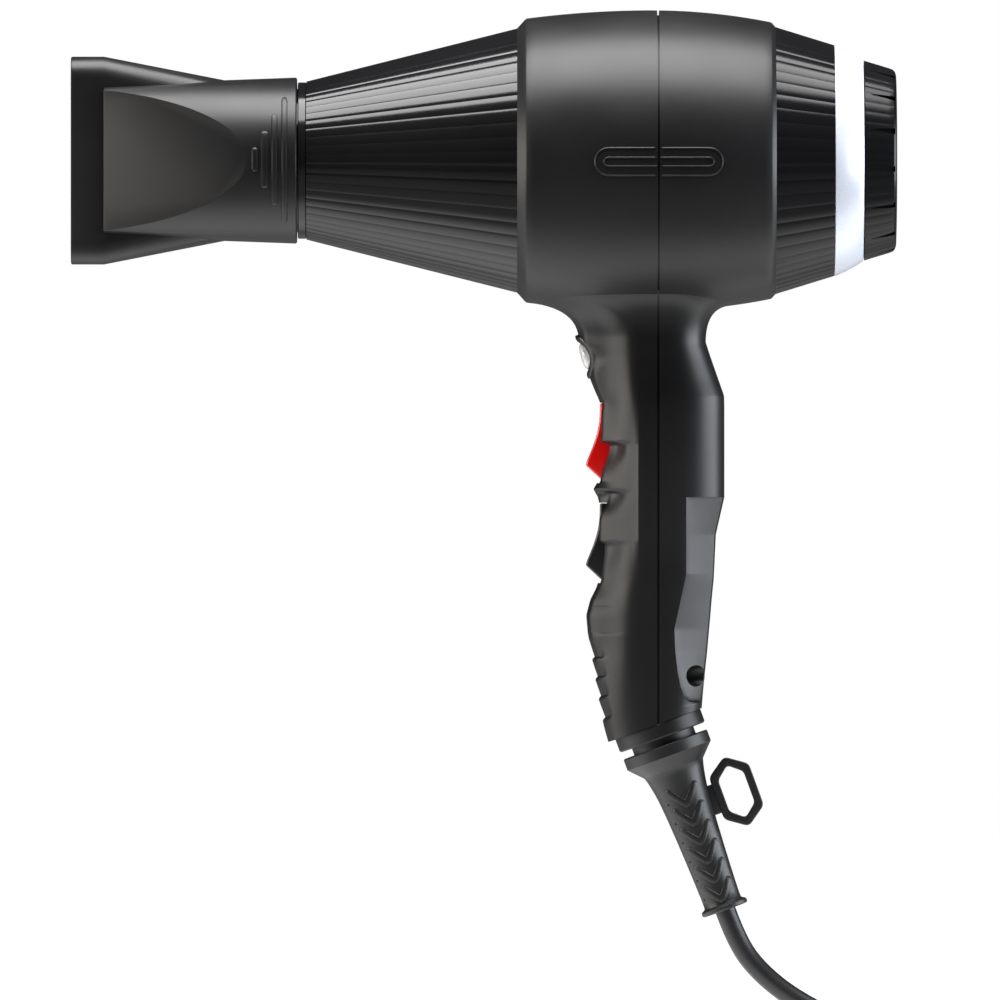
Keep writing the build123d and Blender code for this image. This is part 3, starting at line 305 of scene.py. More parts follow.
def bead(name, path, outward, half_width, height, looped=False, around=10):
    """Raised rib along a path, half round across, with rounded ends unless it is a loop."""
    points = [Vector(point) for point in path]
    count = len(points)
    gone = [0.0]
    for here, there in zip(points, points[1:]):
        gone.append(gone[-1] + (there - here).length)

    def place(turn, run):
        run = run % count if looped else min(run, count - 1)
        before = points[run - 1] if run or looped else points[0]
        after = points[(run + 1) % count] if run < count - 1 or looped else points[-1]
        normal = Vector(outward(points[run])).normalized()
        side = (after - before).normalized().cross(normal)
        near = min(gone[run], gone[-1] - gone[run]) / half_width
        full = 1.0 if looped or near >= 1 else math.sqrt(max(0.0, 1 - (1 - near) ** 2))
        angle = TAU * turn / around
        lean = side * math.cos(angle) * half_width * full
        return points[run] + lean + normal * math.sin(angle) * height * full

    return rolled(name, around, count if looped else count - 1, place)


def spaced(points, gap, end_gap=None, end_length=0.0):
    """The same path with points no further apart than a gap, closer together at its ends."""
    points = [Vector(point) for point in points]
    lengths = [(there - here).length for here, there in zip(points, points[1:])]
    total = sum(lengths)
    stations = [0.0]
    while stations[-1] < total - 1e-6:
        here = stations[-1]
        close = end_gap and min(here, total - here) < end_length - 1e-6
        stations.append(min(total, here + (end_gap if close else gap)))
    made = []
    for station in stations:
        for here, there, length in zip(points, points[1:], lengths):
            if station <= length + 1e-9:
                made.append(here.lerp(there, min(1.0, station / length)))
                break
            station -= length
    return made


def rolled(name, around, along, place, closed=True):
    """Grid rolled into a sleeve: place(turn, run) gives each point in millimetres."""
    settle()
    bpy.ops.mesh.primitive_grid_add(
        x_subdivisions=around, y_subdivisions=along, size=1.0, location=(0, 0, 0)
    )
    piece = bpy.context.object
    piece.name = name
    for point in piece.data.vertices:
        turn = round((point.co.x + 0.5) * around)
        run = round((point.co.y + 0.5) * along)
        point.co = Vector(place(turn, run)) * MM
    if closed:
        clean(piece)
    return piece


def stadium(half_length, half_height, steps=14):
    """Corner points of a round-ended slot about the origin, counter-clockwise."""
    points = []
    for side in (1, -1):
        for step in range(steps + 1):
            angle = math.radians(-90 + 180 * step / steps)
            x = side * (half_length - half_height + half_height * math.cos(angle))
            points.append((x, side * half_height * math.sin(angle)))
    return points


def between(rows, height):
    """Values of a table of rows at a height, in line between its rows."""
    if height >= rows[0][0]:
        return rows[0][1:]
    for upper, lower in zip(rows, rows[1:]):
        if lower[0] <= height:
            share = (upper[0] - height) / (upper[0] - lower[0])
            return tuple(a + share * (b - a) for a, b in zip(upper[1:], lower[1:]))
    return rows[-1][1:]


def ease(value):
    """Smooth step from 0 to 1."""
    value = min(1.0, max(0.0, value))
    return value * value * (3 - 2 * value)


def dress(piece, finish, body, slot, *replaced):
    """Give a finished piece its finish and body, and hide the CAD nodes it stands for; the slot is not used.
    """
    piece.data.materials.clear()
    piece.data.materials.append(finishes[finish])
    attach(piece, body)
    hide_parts(*replaced)


def merged_copy(name, source):
    """Copy of a CAD node with its loose triangles joined."""
    piece = bpy.data.objects.new(name, nodes[source].data.copy())
    bpy.context.scene.collection.objects.link(piece)
    edit(piece)
    bpy.ops.mesh.remove_doubles(threshold=MERGE_GAP)
    leave()
    return piece


# --- Materials ---------------------------------------------------------------------
def blank_tree(owner):
    """Empty node tree of a material or a world."""
    owner.use_nodes = True
    owner.node_tree.nodes.clear()
    return owner.node_tree


def add_node(tree, kind, **values):
    """New shader node with values on its sockets."""
    node = tree.nodes.new("ShaderNode" + kind)
    for name, value in values.items():
        node.inputs[name.replace("_", " ")].default_value = value
    return node


class Mixer:
    """Small builder for a procedural material."""

    def __init__(self, name, **values):
        self.material = bpy.data.materials.new(name)
        self.tree = blank_tree(self.material)
        output = add_node(self.tree, "OutputMaterial")
        self.shader = add_node(self.tree, "BsdfPrincipled", **values)
        self.link(self.shader.outputs[0], output.inputs["Surface"])
        self.place = add_node(self.tree, "TexCoord")

    def link(self, start, end):
        self.tree.links.new(start, end)

    def noise(self, scale, detail=3.0, roughness=0.5, stretch=(1, 1, 1)):
        mapping = add_node(self.tree, "Mapping", Scale=stretch)
        self.link(self.place.outputs["Object"], mapping.inputs["Vector"])
        noise = add_node(self.tree, "TexNoise", Scale=scale, Detail=detail, Roughness=roughness)
        self.link(mapping.outputs[0], noise.inputs["Vector"])
        return noise.outputs["Fac"]

    def colour(self, source, stops):
        ramp = add_node(self.tree, "ValToRGB")
        for element, (place, tone) in zip(ramp.color_ramp.elements, (stops[0], stops[-1])):
            element.position = place
            element.color = (*tone, 1)
        for place, tone in stops[1:-1]:
            ramp.color_ramp.elements.new(place).color = (*tone, 1)
        self.link(source, ramp.inputs[0])
        self.link(ramp.outputs[0], self.shader.inputs["Base Color"])

    def roughness(self, source, low, high, start=0.3, end=0.7):
        spread = add_node(self.tree, "MapRange", From_Min=start, From_Max=end, To_Min=low, To_Max=high)
        self.link(source, spread.inputs["Value"])
        self.link(spread.outputs[0], self.shader.inputs["Roughness"])

    def bump(self, source, strength, distance):
        bump = add_node(self.tree, "Bump", Strength=strength, Distance=distance)
        self.link(source, bump.inputs["Height"])
        self.link(bump.outputs[0], self.shader.inputs["Normal"])


def shade(colour, factor):
    """Colour made darker or lighter by a factor."""
    return tuple(min(1.0, part * factor) for part in colour)


def moulded(name, colour, roughness, grain=1800.0, bump=0.25, specular=0.5, coat=0.0, spread=0.05):
    """Moulded plastic or rubber: fine grain, slight change of colour and sheen."""
    mixer = Mixer(name, Specular_IOR_Level=specular, Coat_Weight=coat, Coat_Roughness=0.08)
    fine = mixer.noise(grain, 4.0, 0.6)
    broad = mixer.noise(22.0, 3.0, 0.5)
    mixer.colour(broad, [(0.3, shade(colour, 0.88)), (0.7, shade(colour, 1.12))])
    mixer.roughness(broad, roughness - spread, roughness + spread)
    mixer.bump(fine, bump, 0.00005)
    return mixer.material


def metal(name, colour, roughness, stretch=(1, 1, 1), scale=900.0):
    """Metal with a fine drawn or rolled grain."""
    mixer = Mixer(name, Metallic=1.0)
    fine = mixer.noise(scale, 5.0, 0.6, stretch)
    mixer.colour(fine, [(0.3, shade(colour, 0.82)), (0.7, colour)])
    mixer.roughness(fine, roughness * 0.75, roughness * 1.3)
    mixer.bump(fine, 0.15, 0.00003)
    return mixer.material


def pearl(name, colour):
    """Pearl lacquer: pale silver with fine flakes under a clear coat."""
    mixer = Mixer(name, Metallic=0.15, Coat_Weight=0.3, Coat_Roughness=0.1, Specular_IOR_Level=0.5)
    cells = add_node(mixer.tree, "TexVoronoi", Scale=2600.0)
    mixer.link(mixer.place.outputs["Object"], cells.inputs["Vector"])
    flake = cells.outputs["Distance"]
    mixer.colour(flake, [(0.0, shade(colour, 1.18)), (0.9, shade(colour, 0.86))])
    mixer.roughness(flake, 0.24, 0.36, 0.0, 1.0)
    mixer.bump(flake, 0.12, 0.00002)
    return mixer.material


def clear_plastic(name):
    """Milky clear plastic of the cool-shot button."""
    mixer = Mixer(name, Transmission_Weight=0.35, IOR=1.49, Coat_Weight=0.5)
    haze = mixer.noise(500.0, 3.0)
    mixer.colour(haze, [(0.3, (0.80, 0.81, 0.82)), (0.7, (0.92, 0.92, 0.93))])
    mixer.roughness(haze, 0.12, 0.22)
    mixer.bump(haze, 0.08, 0.00004)
    return mixer.material


def mica_sheet(name):
    """Silvery brown mica with fine flakes."""
    mixer = Mixer(name)
    fleck = mixer.noise(700.0, 6.0, 0.7)
    mixer.colour(fleck, [(0.3, (0.36, 0.30, 0.20)), (0.55, (0.55, 0.49, 0.36)), (0.75, (0.70, 0.66, 0.54))])
    mixer.roughness(fleck, 0.28, 0.5)
    mixer.bump(fleck, 0.2, 0.00005)
    return mixer.material


finishes = {}


def make_finishes():
    """Every finish by name, made once from the colours in the panel."""
    finish = bpy.context.scene.dryer_finish
    housing = tuple(finish.housing)
    finishes["housing"] = moulded("soft_black", housing, 0.40, 1600.0, 0.22, 0.30)
    finishes["nozzle"] = moulded("nozzle_black", housing, 0.38, 1600.0, 0.25, 0.32)
    gloss = tuple(finish.gloss)
    # The cones and cap share one gloss black. The rear cone's and the cap's copies have weaker specular and
    # coat, which is painted shade that dims their highlights against the front cone's.
    finishes["front_gloss"] = moulded("front_gloss", gloss, 0.15, 900.0, 0.04, 0.29, 0.05, 0.02)
    finishes["rear_gloss_painted_shade"] = moulded("rear_gloss_painted_shade", gloss, 0.17, 900.0, 0.04, 0.17, 0.03, 0.02)
    finishes["cap_gloss_painted_shade"] = moulded("cap_gloss_painted_shade", gloss, 0.24, 900.0, 0.04, 0.12, 0.03, 0.02)
    finishes["ring"] = pearl("pearl_silver", tuple(finish.ring))
    finishes["red"] = moulded("rocker_red", tuple(finish.rocker), 0.22, 1200.0, 0.06, 0.5, 0.4, 0.03)
    finishes["rocker"] = moulded("rocker_black", (0.008, 0.008, 0.0085), 0.28, 1200.0, 0.08, 0.45, 0.1)
    finishes["bezel"] = moulded("bezel_black", (0.010, 0.010, 0.011), 0.30, 1200.0, 0.1, 0.4)
    finishes["button"] = clear_plastic("button_clear")
    finishes["rubber"] = moulded("boot_rubber", (0.010, 0.010, 0.0105), 0.42, 1500.0, 0.3, 0.35)
    finishes["cord"] = moulded("cord_sleeve", (0.011, 0.011, 0.0115), 0.40, 1300.0, 0.25, 0.35)
    finishes["tie"] = moulded("tie_strap", (0.016, 0.016, 0.017), 0.6, 900.0, 0.6, 0.3)
    finishes["pin"] = metal("plated_brass", (0.80, 0.76, 0.62), 0.18)
    finishes["steel"] = metal("spring_steel", (0.62, 0.63, 0.65), 0.28)
    finishes["black_steel"] = metal("blacked_steel", (0.06, 0.06, 0.065), 0.35)
    finishes["lamination"] = metal("stacked_lamination", (0.38, 0.38, 0.40), 0.38, (8, 1, 1), 1500.0)
    finishes["copper"] = metal("enamelled_copper", (0.72, 0.30, 0.14), 0.26, (1, 6, 6), 1200.0)
    finishes["wire"] = metal("heater_wire", (0.55, 0.50, 0.46), 0.34, (1, 1, 1), 1500.0)
    finishes["carbon"] = moulded("carbon_brush", (0.02, 0.02, 0.022), 0.55, 2000.0, 0.5)
    finishes["inner"] = moulded("inner_plastic", (0.028, 0.028, 0.030), 0.45, 1200.0, 0.2)
    finishes["fan"] = moulded("fan_plastic", (0.035, 0.034, 0.033), 0.42, 1200.0, 0.2)
    finishes["lead"] = moulded("lead_sleeve", (0.42, 0.30, 0.16), 0.45, 1200.0, 0.2)
    finishes["mica"] = mica_sheet("mica")


# --- Cord, coil and plug -----------------------------------------------------------
CORD_DROP = [
    (22.23, 0.0, -135.26),
    (26.17, 0.0, -146.07),
    (33.4, 0.0, -155.7),
    (45.1, 0.0, -165.0),
    (62.0, 0.0, -173.4),
    (80.3, 0.0, -178.4),
    (98.0, 0.0, -180.3),
]
CORD_RUN_OUT = [
    (98.0, 88.0, -201.3),
    (86.0, 88.4, -202.0),
    (74.0, 86.6, -199.4),
    (64.0, 84.8, -195.8),
    (56.0, 84.2, -194.2),
]
COIL_CENTRE = (98.0, 44.0)
COIL_COLUMNS = [44.0, 37.0, 30.0]
COIL_LAYERS = [-180.3, -187.3, -194.3, -201.3]


def coil_points(per_turn=20):
    """Turns of the coil: each layer crosses the columns, then drops to the next layer."""
    turns = []
    for index, level in enumerate(COIL_LAYERS):
        columns = COIL_COLUMNS if index % 2 == 0 else COIL_COLUMNS[::-1]
        turns += [(radius, level) for radius in columns]
    total = len(turns) * per_turn - per_turn // 2
    points = []
    for step in range(1, total):
        index, share = divmod(step / per_turn, 1)
        index = int(index)
        radius, level = turns[index]
        if share > 0.8 and index + 1 < len(turns):
            blend = ease((share - 0.8) / 0.2)
            radius += blend * (turns[index + 1][0] - radius)
            level += blend * (turns[index + 1][1] - level)
        angle = math.radians(-90.0) + TAU * step / per_turn
        x = COIL_CENTRE[0] + radius * math.cos(angle)
        y = COIL_CENTRE[1] + radius * math.sin(angle)
        points.append((x, y, level))
    return points


class DRYER_OT_cord(bpy.types.Operator):
    """Mains cord from the boot to the plug, with its spare length wound in a tied coil"""

    bl_idname = "dryer.cord"
    bl_label = "Cord and plug"

    def execute(self, context):
        sizes = context.scene.dryer_sizes
        settle()
        curve = bpy.data.curves.new("mains_lead", "CURVE")
        curve.dimensions = "3D"
        curve.bevel_depth = sizes.cord_diameter / 2
        curve.bevel_resolution = 5
        curve.resolution_u = 6
        curve.use_fill_caps = True
        route = CORD_DROP + coil_points() + CORD_RUN_OUT
        spline = curve.splines.new("NURBS")
        spline.points.add(len(route) - 1)
        for point, place in zip(spline.points, route):
            point.co = (*(Vector(place) * MM), 1.0)
        spline.order_u = 3
        spline.use_endpoint_u = True
        lead = bpy.data.objects.new("mains_lead", curve)
        context.scene.collection.objects.link(lead)
        dress(lead, "cord", "dryer", "cord_black", "mains_cord", "cord_coil", "cord_tail")

        plug = merged_copy("plug_moulding", "plug_body")
        smooth(plug, 40.0)
        dress(plug, "rubber", "dryer", "boot_rubber", "plug_body")
        pins = merged_copy("plug_contacts", "plug_pins")
        smooth(pins, 40.0)
        dress(pins, "pin", "dryer", "pin_metal", "plug_pins")
        strap = merged_copy("coil_strap", "cord_tie")
        soften(strap, 0.4)
        smooth(strap)
        dress(strap, "tie", "dryer", "tie_strap", "cord_tie")
        return {"FINISHED"}


# --- Housing -----------------------------------------------------------------------
def barrel_radius(station):
    """Radius of the mid housing at a station."""
    if station < -2.0:
        return 49.6 - 2.7 * ((station + 2.0) / 41.3) ** 2
    return 49.6 - 3.9 * ((station + 2.0) / 39.1) ** 2


def scallop(height):
    """How far the front of the grip is hollowed for the fingers: deepest just under each ridge."""
    hollow = 0.0
    for ridge, depth, reach in ((RIDGES[0], 3.4, 12.0), (RIDGES[1], 3.0, 9.0), (RIDGES[2], 1.7, 11.0)):
        under = ridge - height
        if under > 0:
            hollow = max(hollow, depth * ease(under / 1.6) * (1 - ease((under - 1.6) / reach)))
        elif under > -3.0:
            hollow -= 0.12 * depth * (1 + under / 3.0) ** 2
    return hollow


def saw(height):
    """Small steps moulded under the front edge near the end of the grip."""
    if height > -46.0 or height < -72.6:
        return 0.0
    share = ((height + 52.6) / 6.65) % 1.0
    return 1.1 * (1 - share) if share > 0.08 else 0.2


def flat_share(height, beyond):
    """How fully the flat on the front of the grip is formed, past its crease."""
    if height < FRONT_BREAKS[2]:
        share = 0.74 * (1 - ease((FRONT_BREAKS[2] - height) / 24.0))
    elif height < FRONT_BREAKS[1]:
        share = 0.93
    else:
        share = 1.0
    soft = max(ease((height - 8.0) / 30.0), ease((-6.0 - height) / 26.0))
    return share * (1 - soft * (1 - ease(beyond / 11.0)))


def front_wall(along, across, height, reach, half, near):
    """Front of the grip: flat cheek, blunt nose, finger hollows, ridges and small steps."""
    beyond = along - FRONT_CREASE
    if beyond > 0:
        fraction = min(1.0, beyond / (reach - FRONT_CREASE))
        bow = 0.3 + 0.9 * ease((-8.0 - height) / 18.0)
        chord = near + (0.36 * half - near) * fraction - 0.3 * ease(beyond / 0.5)
        chord += bow * (1 - (2 * fraction - 1) ** 2)
        round_nose = math.exp(-(((height - 47.3) / 8.0) ** 2)) * ease(2.0 * fraction)
        blunt = math.sqrt(max(0.0, reach - along) * (42.0 - 28.0 * round_nose))
        across += flat_share(height, beyond) * (min(across, chord, blunt) - across)
    along -= scallop(height) * ease((along - 9.0) / 9.0) * ease((across - 3.5) / 2.5)
    nose = ease((along - 14.0) / 5.0)
    along += 1.5 * max(0.0, 1 - abs(height - RIDGES[1]) / 2.6) * nose
    along -= 0.6 * max(0.0, 1 - abs(height + 1.2) / 2.2) * nose
    along -= 0.5 * max(0.0, 1 - abs(height - 32.1) / 3.0) * nose
    tip = ease((along - 12.0) / 5.0) * ease((11.0 - across) / 3.0)
    along -= saw(height - ease((-42.0 - height) / 31.0) * math.tan(END_TILT) * reach) * tip
    return along, across


def grip_wall(share, height, side, inset=0.0):
    """Point of one half of the grip: share 0 to 1 runs from seam to seam round its edge."""
    front, rear, half = between(GRIP_ROWS, height)
    reach = (-front if side < 0 else rear) - inset
    half -= inset
    crease = FRONT_CREASE if side < 0 else min(between(FACET_EDGE, height)[0], reach - 0.2)
    corner = math.asin((crease / reach) ** 1.3)
    part = min(share, 1 - share)
    if part < 0.2:
        angle = corner * part / 0.2
    else:
        angle = corner + (math.pi / 2 - corner) * (part - 0.2) / 0.3
    along = reach * math.sin(angle) ** (1 / 1.3)
    across = half * max(0.0, math.cos(angle)) ** (1 / 1.3)
    beyond = along - crease
    near = half * (1 - (crease / reach) ** 2.6) ** (1 / 2.6)
    if side < 0:
        along, across = front_wall(along, across, height, reach, half, near)
    elif beyond > 0 and FACET_EDGE[-1][0] <= height <= FACET_EDGE[0][0] + 0.01:
        chord = near + (0.33 * half - near) * beyond / (reach - crease)
        across = min(across, chord - 0.3 * ease(beyond / 0.4))
    return side * along, across if share > 0.5 else -across


def grip_levels(breaks):
    """Heights of the rings of the grip, close together where it has fine steps."""
    levels = [52.0 - 1.2 * step for step in range(16)]
    level = levels[-1]
    while level > -28.0:
        nearest = min(abs(level - ridge) for ridge in RIDGES)
        level -= 0.45 if nearest < 3.0 else 0.9
        levels.append(level)
    while level > -44.0:
        level -= 1.0
        levels.append(level)
    while level > -72.8:
        level -= 0.45
        levels.append(level)
    levels.append(-73.9)
    for height in breaks:
        nearest = min(range(len(levels)), key=lambda index: abs(levels[index] - height))
        levels[nearest] = height
    return levels


def grip_half(name, side):
    """One half of the grip, from the fillet under the barrel to the tilted cord end."""
    seam = bpy.context.scene.dryer_sizes.seam_width / MM / 2
    count = 64
    fillet = 14
    breaks = FRONT_BREAKS if side < 0 else REAR_BREAKS
    levels = grip_levels(breaks)
    if side > 0:
        levels.insert(levels.index(REAR_BREAKS[1]), REAR_BREAKS[1] + 0.05)

    def place(turn, run):
        edge = min(turn, count - turn)
        share = min(1.0, max(0.0, (turn - 2) / (count - 4)))
        depth = 1.3 if edge < 2 else 0.0
        height = levels[max(0, run - fillet)]
        lean = ease((-42.0 - height) / 31.0) * math.tan(END_TILT)
        along, across = grip_wall(share, height, side, depth)
        height += lean * (along + 0.1)
        if edge < 3:
            along = side * (0.0 if edge == 0 else seam)
        if run >= fillet:
            return along, across, height
        t = 1 - run / fillet
        spread = math.pi * share
        reach = 42.6 if side < 0 else 23.5
        foot_x = side * reach * abs(math.sin(spread)) ** (2 / 2.3)
        foot_y = -22.5 * math.copysign(abs(math.cos(spread)) ** (2 / 2.3), math.cos(spread))
        if edge < 3:
            foot_x = along
        radius = barrel_radius(foot_x) - depth
        wall_z = AXIS - math.sqrt(barrel_radius(along) ** 2 - across**2) + depth
        wall_z -= 2.6 * abs(math.cos(spread))
        foot_z = AXIS - math.sqrt(radius**2 - foot_y**2) + 0.03
        x = (1 - t * t) * along + t * t * foot_x
        y = (1 - t * t) * across + t * t * foot_y
        z = (1 - t) ** 2 * height + 2 * t * (1 - t) * wall_z + t * t * foot_z
        return x, y, z

    sleeve = rolled(name, count, fillet + len(levels) - 1, place, closed=False)
    edit(sleeve, "DESELECT", "EDGE")
    leave()
    rings = {fillet + levels.index(height) for height in breaks}
    for edge in sleeve.data.edges:
        first, second = (vertex // (count + 1) for vertex in edge.vertices)
        edge.select = first == second and first in rings
    bpy.ops.object.mode_set(mode="EDIT")
    bpy.ops.mesh.mark_sharp()
    leave()
    clean(sleeve)
    widest = max(sleeve.data.polygons, key=lambda face: face.center.x * side)
    if widest.normal.x * side < 0:
        edit(sleeve)
        bpy.ops.mesh.flip_normals()
        leave()
    pick(sleeve)
    skin = sleeve.modifiers.new("skin", "SOLIDIFY")
    skin.thickness = GRIP_SKIN * MM
    skin.offset = -1.0
    bpy.ops.object.modifier_apply(modifier=skin.name)
    return sleeve


def barrel_half(name, side):
    """One half of the barrel housing with its end bevel, lip and seam step."""
    seam = bpy.context.scene.dryer_sizes.seam_width / MM / 2
    groove = 1.6
    if side < 0:
        outer = [(-46.5, 43.6), (-43.9, 46.5), (-43.3, 46.9)]
        outer += [(-43.3 + step * (43.3 - seam) / 16, 0) for step in range(1, 17)]
        inner = [(0.0, 46.6), (-41.0, 44.4), (-41.0, 41.5), (-46.5, 41.5)]
        end = -seam
    else:
        outer = [(38.7, 44.1), (37.6, 45.4), (37.1, 45.7)]
        outer += [(37.1 - step * (37.1 - seam) / 14, 0) for step in range(1, 15)]
        inner = [(0.0, 46.6), (35.0, 43.2), (35.0, 41.5), (38.7, 41.5)]
        end = seam
    profile = [(x, r if r else barrel_radius(x)) for x, r in outer]
    profile += [(end, barrel_radius(0) - groove), (0.0, barrel_radius(0) - groove)]
    return turned(name, profile + inner, 160)


def box_cutter(name, low, high):
    """Block between two corners, for cutting an opening."""
    settle()
    bpy.ops.mesh.primitive_cube_add(size=1.0, location=(0, 0, 0))
    piece = bpy.context.object
    piece.name = name
    for point in piece.data.vertices:
        for axis in range(3):
            point.co[axis] = (high[axis] if point.co[axis] > 0 else low[axis]) * MM
    return piece


def rod_cutter(name, centre, direction, radius, depth, vertices=48):
    """Round rod along a direction, for cutting a hole."""
    settle()
    turn = Vector((0, 0, 1)).rotation_difference(Vector(direction))
    bpy.ops.mesh.primitive_cylinder_add(
        vertices=vertices,
        radius=radius * MM,
        depth=depth * MM,
        location=Vector(centre) * MM,
        rotation=turn.to_euler(),
    )
    piece = bpy.context.object
    piece.name = name
    seat(piece)
    return piece


def from_axis(point):
    """Direction away from the barrel's axis at a point in millimetres."""
    return 0, point.y, point.z - AXIS


def pill_beads(side):
    """Two thin raised outlines on each cheek of the barrel, parted at the seam."""
    made = []
    for half_length, half_height, gap in ((21.05, 4.5, 0.36), (18.1, 1.4, 0.02)):
        outline = stadium(half_length, half_height)
        flat = spaced([(x, 0.0, z) for x, z in outline + outline[:1]], 0.7)
        start = next(index for index, point in enumerate(flat) if point.x * side < gap)
        run = [point for point in flat[start:-1] + flat[:start] if point.x * side > gap]
        for cheek in (-1, 1):
            on_barrel = []
            for point in run:
                height = PILL_HEIGHT + point.z
                depth = math.sqrt(barrel_radius(point.x) ** 2 - (height - AXIS) ** 2)
                on_barrel.append((point.x, cheek * depth, height))
            made.append(bead("pill_bead", on_barrel, from_axis, 0.34, 0.45, around=8))
    return made


def screw_wells():
    """Dark wells behind the two screw holes, closed at their floor and cut off inside the wall."""
    made = []
    near_x, near_y = grip_wall(0.62, SCREW_HEIGHT, 1, 1.0)
    far_x, far_y = grip_wall(0.78, SCREW_HEIGHT, 1, 1.0)
    for cheek in (-1, 1):
        place = Matrix.Translation((0, cheek * SCREW_SIDE * MM, SCREW_HEIGHT * MM))
        well = turned("screw_well", [(4.4, 0.0), (4.4, 4.5), (20.0, 4.5), (20.0, 0.0)], 48, place)
        edit(well)
        bpy.ops.mesh.bisect(
            plane_co=(near_x * MM, cheek * near_y * MM, SCREW_HEIGHT * MM),
            plane_no=Vector((abs(far_y - near_y), cheek * abs(far_x - near_x), 0.0)).normalized(),
            use_fill=True,
            clear_outer=True,
        )
        leave()
        clean(well)
        cut(well, turned("screw_bore", [(5.2, 0.0), (5.2, 3.56), (24.0, 3.56), (24.0, 0.0)], 48, place))
        made.append(well)
    return made


class DRYER_OT_housing(bpy.types.Operator):
    """Two moulded halves of the housing: barrel, grip, seam, windows and screw holes"""

    bl_idname = "dryer.housing"
    bl_label = "Housing halves"

    def execute(self, context):
        front = grip_half("housing_front_shell", -1)
        for pivot in PIVOTS.values():
            low = (-32, -WINDOW_HALF_WIDTH, pivot - 13.4)
            high = (-12, WINDOW_HALF_WIDTH, pivot + 13.1)
            cut(front, box_cutter("window", low, high))
        cut(front, rod_cutter("bezel_hole", BUTTON_FACE, BUTTON_OUT, 7.6, 24.0, 64))
        merge_into(front, [barrel_half("front_barrel_half", -1), *pill_beads(-1)])
        smooth(front, 28.0)
        dress(front, "housing", "dryer", "housing_black", "front_housing")

        rear = grip_half("housing_rear_shell", 1)
        for side in (-SCREW_SIDE, SCREW_SIDE):
            cut(rear, rod_cutter("screw_hole", (15.0, side, SCREW_HEIGHT), (1, 0, 0), 3.55, 20.0))
        merge_into(rear, [barrel_half("rear_barrel_half", 1), *pill_beads(1), *screw_wells()])
        smooth(rear, 28.0)
        dress(rear, "housing", "dryer", "housing_black", "rear_housing")
        return {"FINISHED"}


# --- Cones, ring and cap -----------------------------------------------------------
def fluted_cone(name, start, end, inner):
    """Cone with rounded flutes: its outside is drawn in between their crests."""
    sizes = bpy.context.scene.dryer_sizes
    depth = sizes.flute_depth / MM
    centre = sizes.barrel_height
    drops = (0.0, 0.06, 0.25, 0.56, 1.3)
    steps = FLUTES * FLUTE_STEPS

    def along(share):
        return start[0] + share * (end[0] - start[0]), start[1] + share * (end[1] - start[1])

    cone = turned(name, [along(row / 12) for row in range(13)] + inner, steps)
    for point in cone.data.vertices:
        x, y, z = point.co.x / MM, point.co.y, point.co.z - centre
        radius = math.hypot(y, z) / MM
        share = (x - start[0]) / (end[0] - start[0])
        full = along(share)[1]
        if -0.002 <= share <= 1.002 and abs(radius - full) < 0.05:
            index = round(math.atan2(z, y) / TAU * steps) % FLUTE_STEPS
            drop = drops[min(index, FLUTE_STEPS - index)] * depth * full / 43.6
            scale = (full - drop) / radius
            point.co.y = y * scale
            point.co.z = centre + z * scale
    return cone


class DRYER_OT_cones(bpy.types.Operator):
    """Fluted gloss cones, the nozzle spigot and its collar"""

    bl_idname = "dryer.cones"
    bl_label = "Fluted cones"

    def execute(self, context):
        inner = [
            (-46.5, 41.2), (-40.5, 41.2), (-40.5, 39.2), (-46.5, 39.2), (-116.0, 23.2),
            (-116.0, 21.8), (-139.0, 21.8), (-139.0, 23.3), (-138.6, 23.7), (-132.3, 23.7),
            (-132.3, 22.7), (-129.7, 22.7), (-129.7, 23.7), (-118.8, 23.7), (-118.8, 25.5),
            (-118.5, 25.8), (-116.3, 25.8), (-116.0, 25.5),
        ]
        front = fluted_cone("fluted_cone_front", (-116.0, 26.1), (-46.5, 43.6), inner)
        smooth(front, 12.0)
        dress(front, "front_gloss", "dryer", "barrel_gloss", "front_barrel")
        inner = [(58.1, 35.3), (38.7, 39.2), (32.7, 39.2), (32.7, 41.2), (38.7, 41.2)]
        rear = fluted_cone("fluted_cone_rear", (38.7, 44.1), (58.1, 38.1), inner)
        smooth(rear, 12.0)
        dress(rear, "rear_gloss_painted_shade", "dryer", "barrel_gloss", "rear_barrel")
        return {"FINISHED"}


class DRYER_OT_ring(bpy.types.Operator):
    """Pearl silver ring round the air inlet"""

    bl_idname = "dryer.ring"
    bl_label = "Trim ring"

    def execute(self, context):
        profile = [
            (54.1, 33.0), (54.1, 35.2), (58.1, 35.2), (58.1, 37.9), (58.3, 38.12), (58.7, 38.0),
            (62.0, 36.5), (65.4, 34.7), (67.3, 33.3), (67.6, 33.0), (67.7, 32.6), (67.7, 30.0), (60.1, 30.0),
        ]
        ring = turned("inlet_trim_ring", profile, 192)
        smooth(ring, 30.0)
        dress(ring, "ring", "dryer", "ring_silver", "trim_ring")
        return {"FINISHED"}


